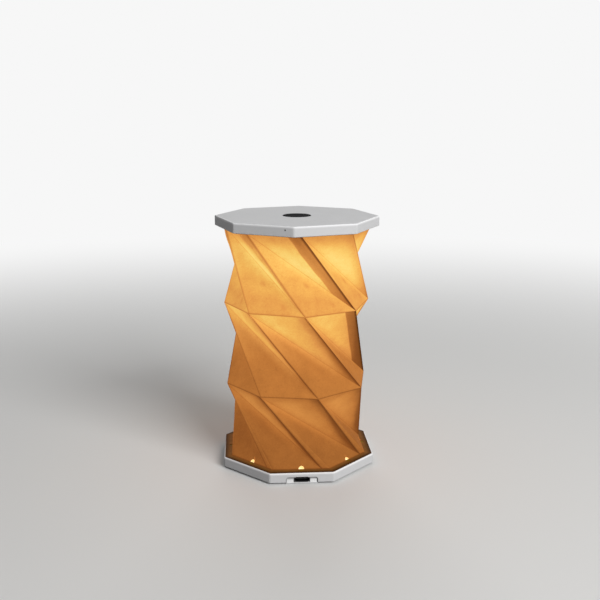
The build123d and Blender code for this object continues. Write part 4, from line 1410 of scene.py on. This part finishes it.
matt = math(plated, "MULTIPLY_ADD", own_matt, plated_in.outputs["Matt Depth"], plated_in.outputs["Matt"])
plated.links.new(tone, plated_out.inputs["Tone"])
plated.links.new(matt, plated_out.inputs["Roughness"])


def metal(name, colour, matt, size=1800.0):
    """A plated metal: its colour, how matt it is, and how fine its crystals are."""
    finish = Finish(name, colour, matt, Metallic=1.0)
    grain = use_group(finish.tree, plated, Crystal_Size=size, Matt=matt)
    tint(finish, "Base Color", colour, grain["Tone"])
    finish.feed("Roughness", grain["Roughness"])
    return finish


screws = metal("screw_steel", (0.55, 0.55, 0.56), 0.34)
dress(screws, "base_cover_screws", "lid_plate_screws", "led_board_screws")
dress(metal("socket_steel", (0.10, 0.10, 0.105), 0.4, 2600.0), "usb_socket_shell")
print("plated finishes:", [m.name for m in bpy.data.materials if "steel" in m.name])

# %% [markdown]
# ## Boards, battery and lights
#
# These sit inside. The two boards have copper tracks under their solder mask. Real tracks could be drawn
# one by one, but only their rhythm shows: lines that run one way in some squares and the other way in
# the rest. Both boards share that pattern.

# %% Copper tracks, as a node group
TRACK_HALF = 0.14
tracks, tracks_in, tracks_out = new_group(
    "copper_tracks",
    [("Pitch", "NodeSocketFloat", 1.1 * MM), ("Square", "NodeSocketFloat", 5.5 * MM)],
    [("Track", "NodeSocketFloat")],
)
x, y, _ = add_node(tracks, "ShaderNodeSeparateXYZ", Vector=object_place(tracks)).outputs


def stripe(along):
    """One on every line of a set of lines a pitch apart, and zero between them."""
    within = math(tracks, "FRACT", math(tracks, "DIVIDE", along, tracks_in.outputs["Pitch"]))
    from_line = math(tracks, "ABSOLUTE", math(tracks, "SUBTRACT", within, 0.5))
    return math(tracks, "LESS_THAN", from_line, TRACK_HALF)


def odd(along):
    """One in every second square along one direction, and zero in the others."""
    squares = math(tracks, "FLOOR", math(tracks, "DIVIDE", along, tracks_in.outputs["Square"]))
    return math(tracks, "ABSOLUTE", math(tracks, "MODULO", squares, 2.0))


turned_square = math(tracks, "ABSOLUTE", math(tracks, "SUBTRACT", odd(x), odd(y)))
chosen = add_node(tracks, "ShaderNodeMix", i0=turned_square, i2=stripe(x), i3=stripe(y))
tracks.links.new(chosen.outputs[0], tracks_out.inputs["Track"])


def board(name, colour, raised):
    """A circuit board: its solder mask's colour, and the same over a copper track."""
    finish = Finish(name, colour, 0.3)
    track = use_group(finish.tree, tracks)["Track"]
    finish.feed("Base Color", mixed(finish.tree, track, colour, raised))
    bump(finish, 0.5, 0.035 * MM, track)
    return finish


dress(board("charge_board_green", (0.010, 0.085, 0.030), (0.025, 0.15, 0.055)), "charge_board")
dress(board("led_board_white", (0.74, 0.74, 0.72), (0.66, 0.66, 0.63)), "led_board")
print("boards dressed, node group:", tracks.name)

# %% [markdown]
# The battery is a crinkled foil pouch held by foam tape. Crinkles and pores could be modelled, but both
# are too fine to change an outline, so they are bump. The foam's pores are also darker than the rest.

# %% Foil and foam
FOAM = (0.68, 0.66, 0.58)

foil = Finish("battery_foil", (0.62, 0.62, 0.63), 0.38, Metallic=0.9)
place = object_place(foil.tree)
crinkles = add_node(foil.tree, "ShaderNodeTexNoise", Vector=place, Scale=160.0, Detail=3.0, Distortion=1.2)
bump(foil, 0.5, 0.25 * MM, crinkles.outputs["Fac"])
dress(foil, "battery")
foam = Finish("tape", FOAM, 0.9)
pores = add_node(foam.tree, "ShaderNodeTexVoronoi", Vector=object_place(foam.tree), Scale=2200.0)
pores = pores.outputs["Distance"]
tone = add_node(foam.tree, "ShaderNodeMapRange", Value=pores, From_Max=0.6, To_Min=0.72, To_Max=1.04)
tint(foam, "Base Color", FOAM, tone.outputs[0])
bump(foam, 0.6, 0.1 * MM, pores)
dress(foam, "battery_tape")
print("battery dressed:", foil.material.name, foam.material.name)

# %% [markdown]
# The lights and the frosted cup under them are the brightest things in the lamp. The cup could be clear
# plastic with a lamp behind it. A white plastic that shines by itself looks the same without the noise.

# %% Lights
def lit_piece(name, colour, glow, strength):
    """A frosted piece lit from behind: its clouds let a little more or less light through."""
    finish = plastic(name, colour, 0.55, Emission_Strength=strength)
    tint(finish, "Emission Color", glow, use_group(finish.tree, moulded, Tone_Depth=0.35)["Tone"])
    return finish


dress(lit_piece("diffuser_plastic", (0.80, 0.76, 0.68), (1.0, 0.76, 0.42), 1.0), "diffuser")
dress(lit_piece("led_window", (0.80, 0.62, 0.20), (1.0, 0.80, 0.46), 1.3), "leds")
dress(plastic("indicator_window", (0.70, 0.70, 0.68), 0.35), "indicator_led")
dress(plastic("pipe_acrylic", (0.030, 0.030, 0.032), 0.16, depth=0.03), "indicator_pipe")
print("materials in all:", len(bpy.data.materials))

# %% [markdown]
# ## Sizes
#
# The box round everything that shows now, the floor left out, is measured.

# %% Sizes
low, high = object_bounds()
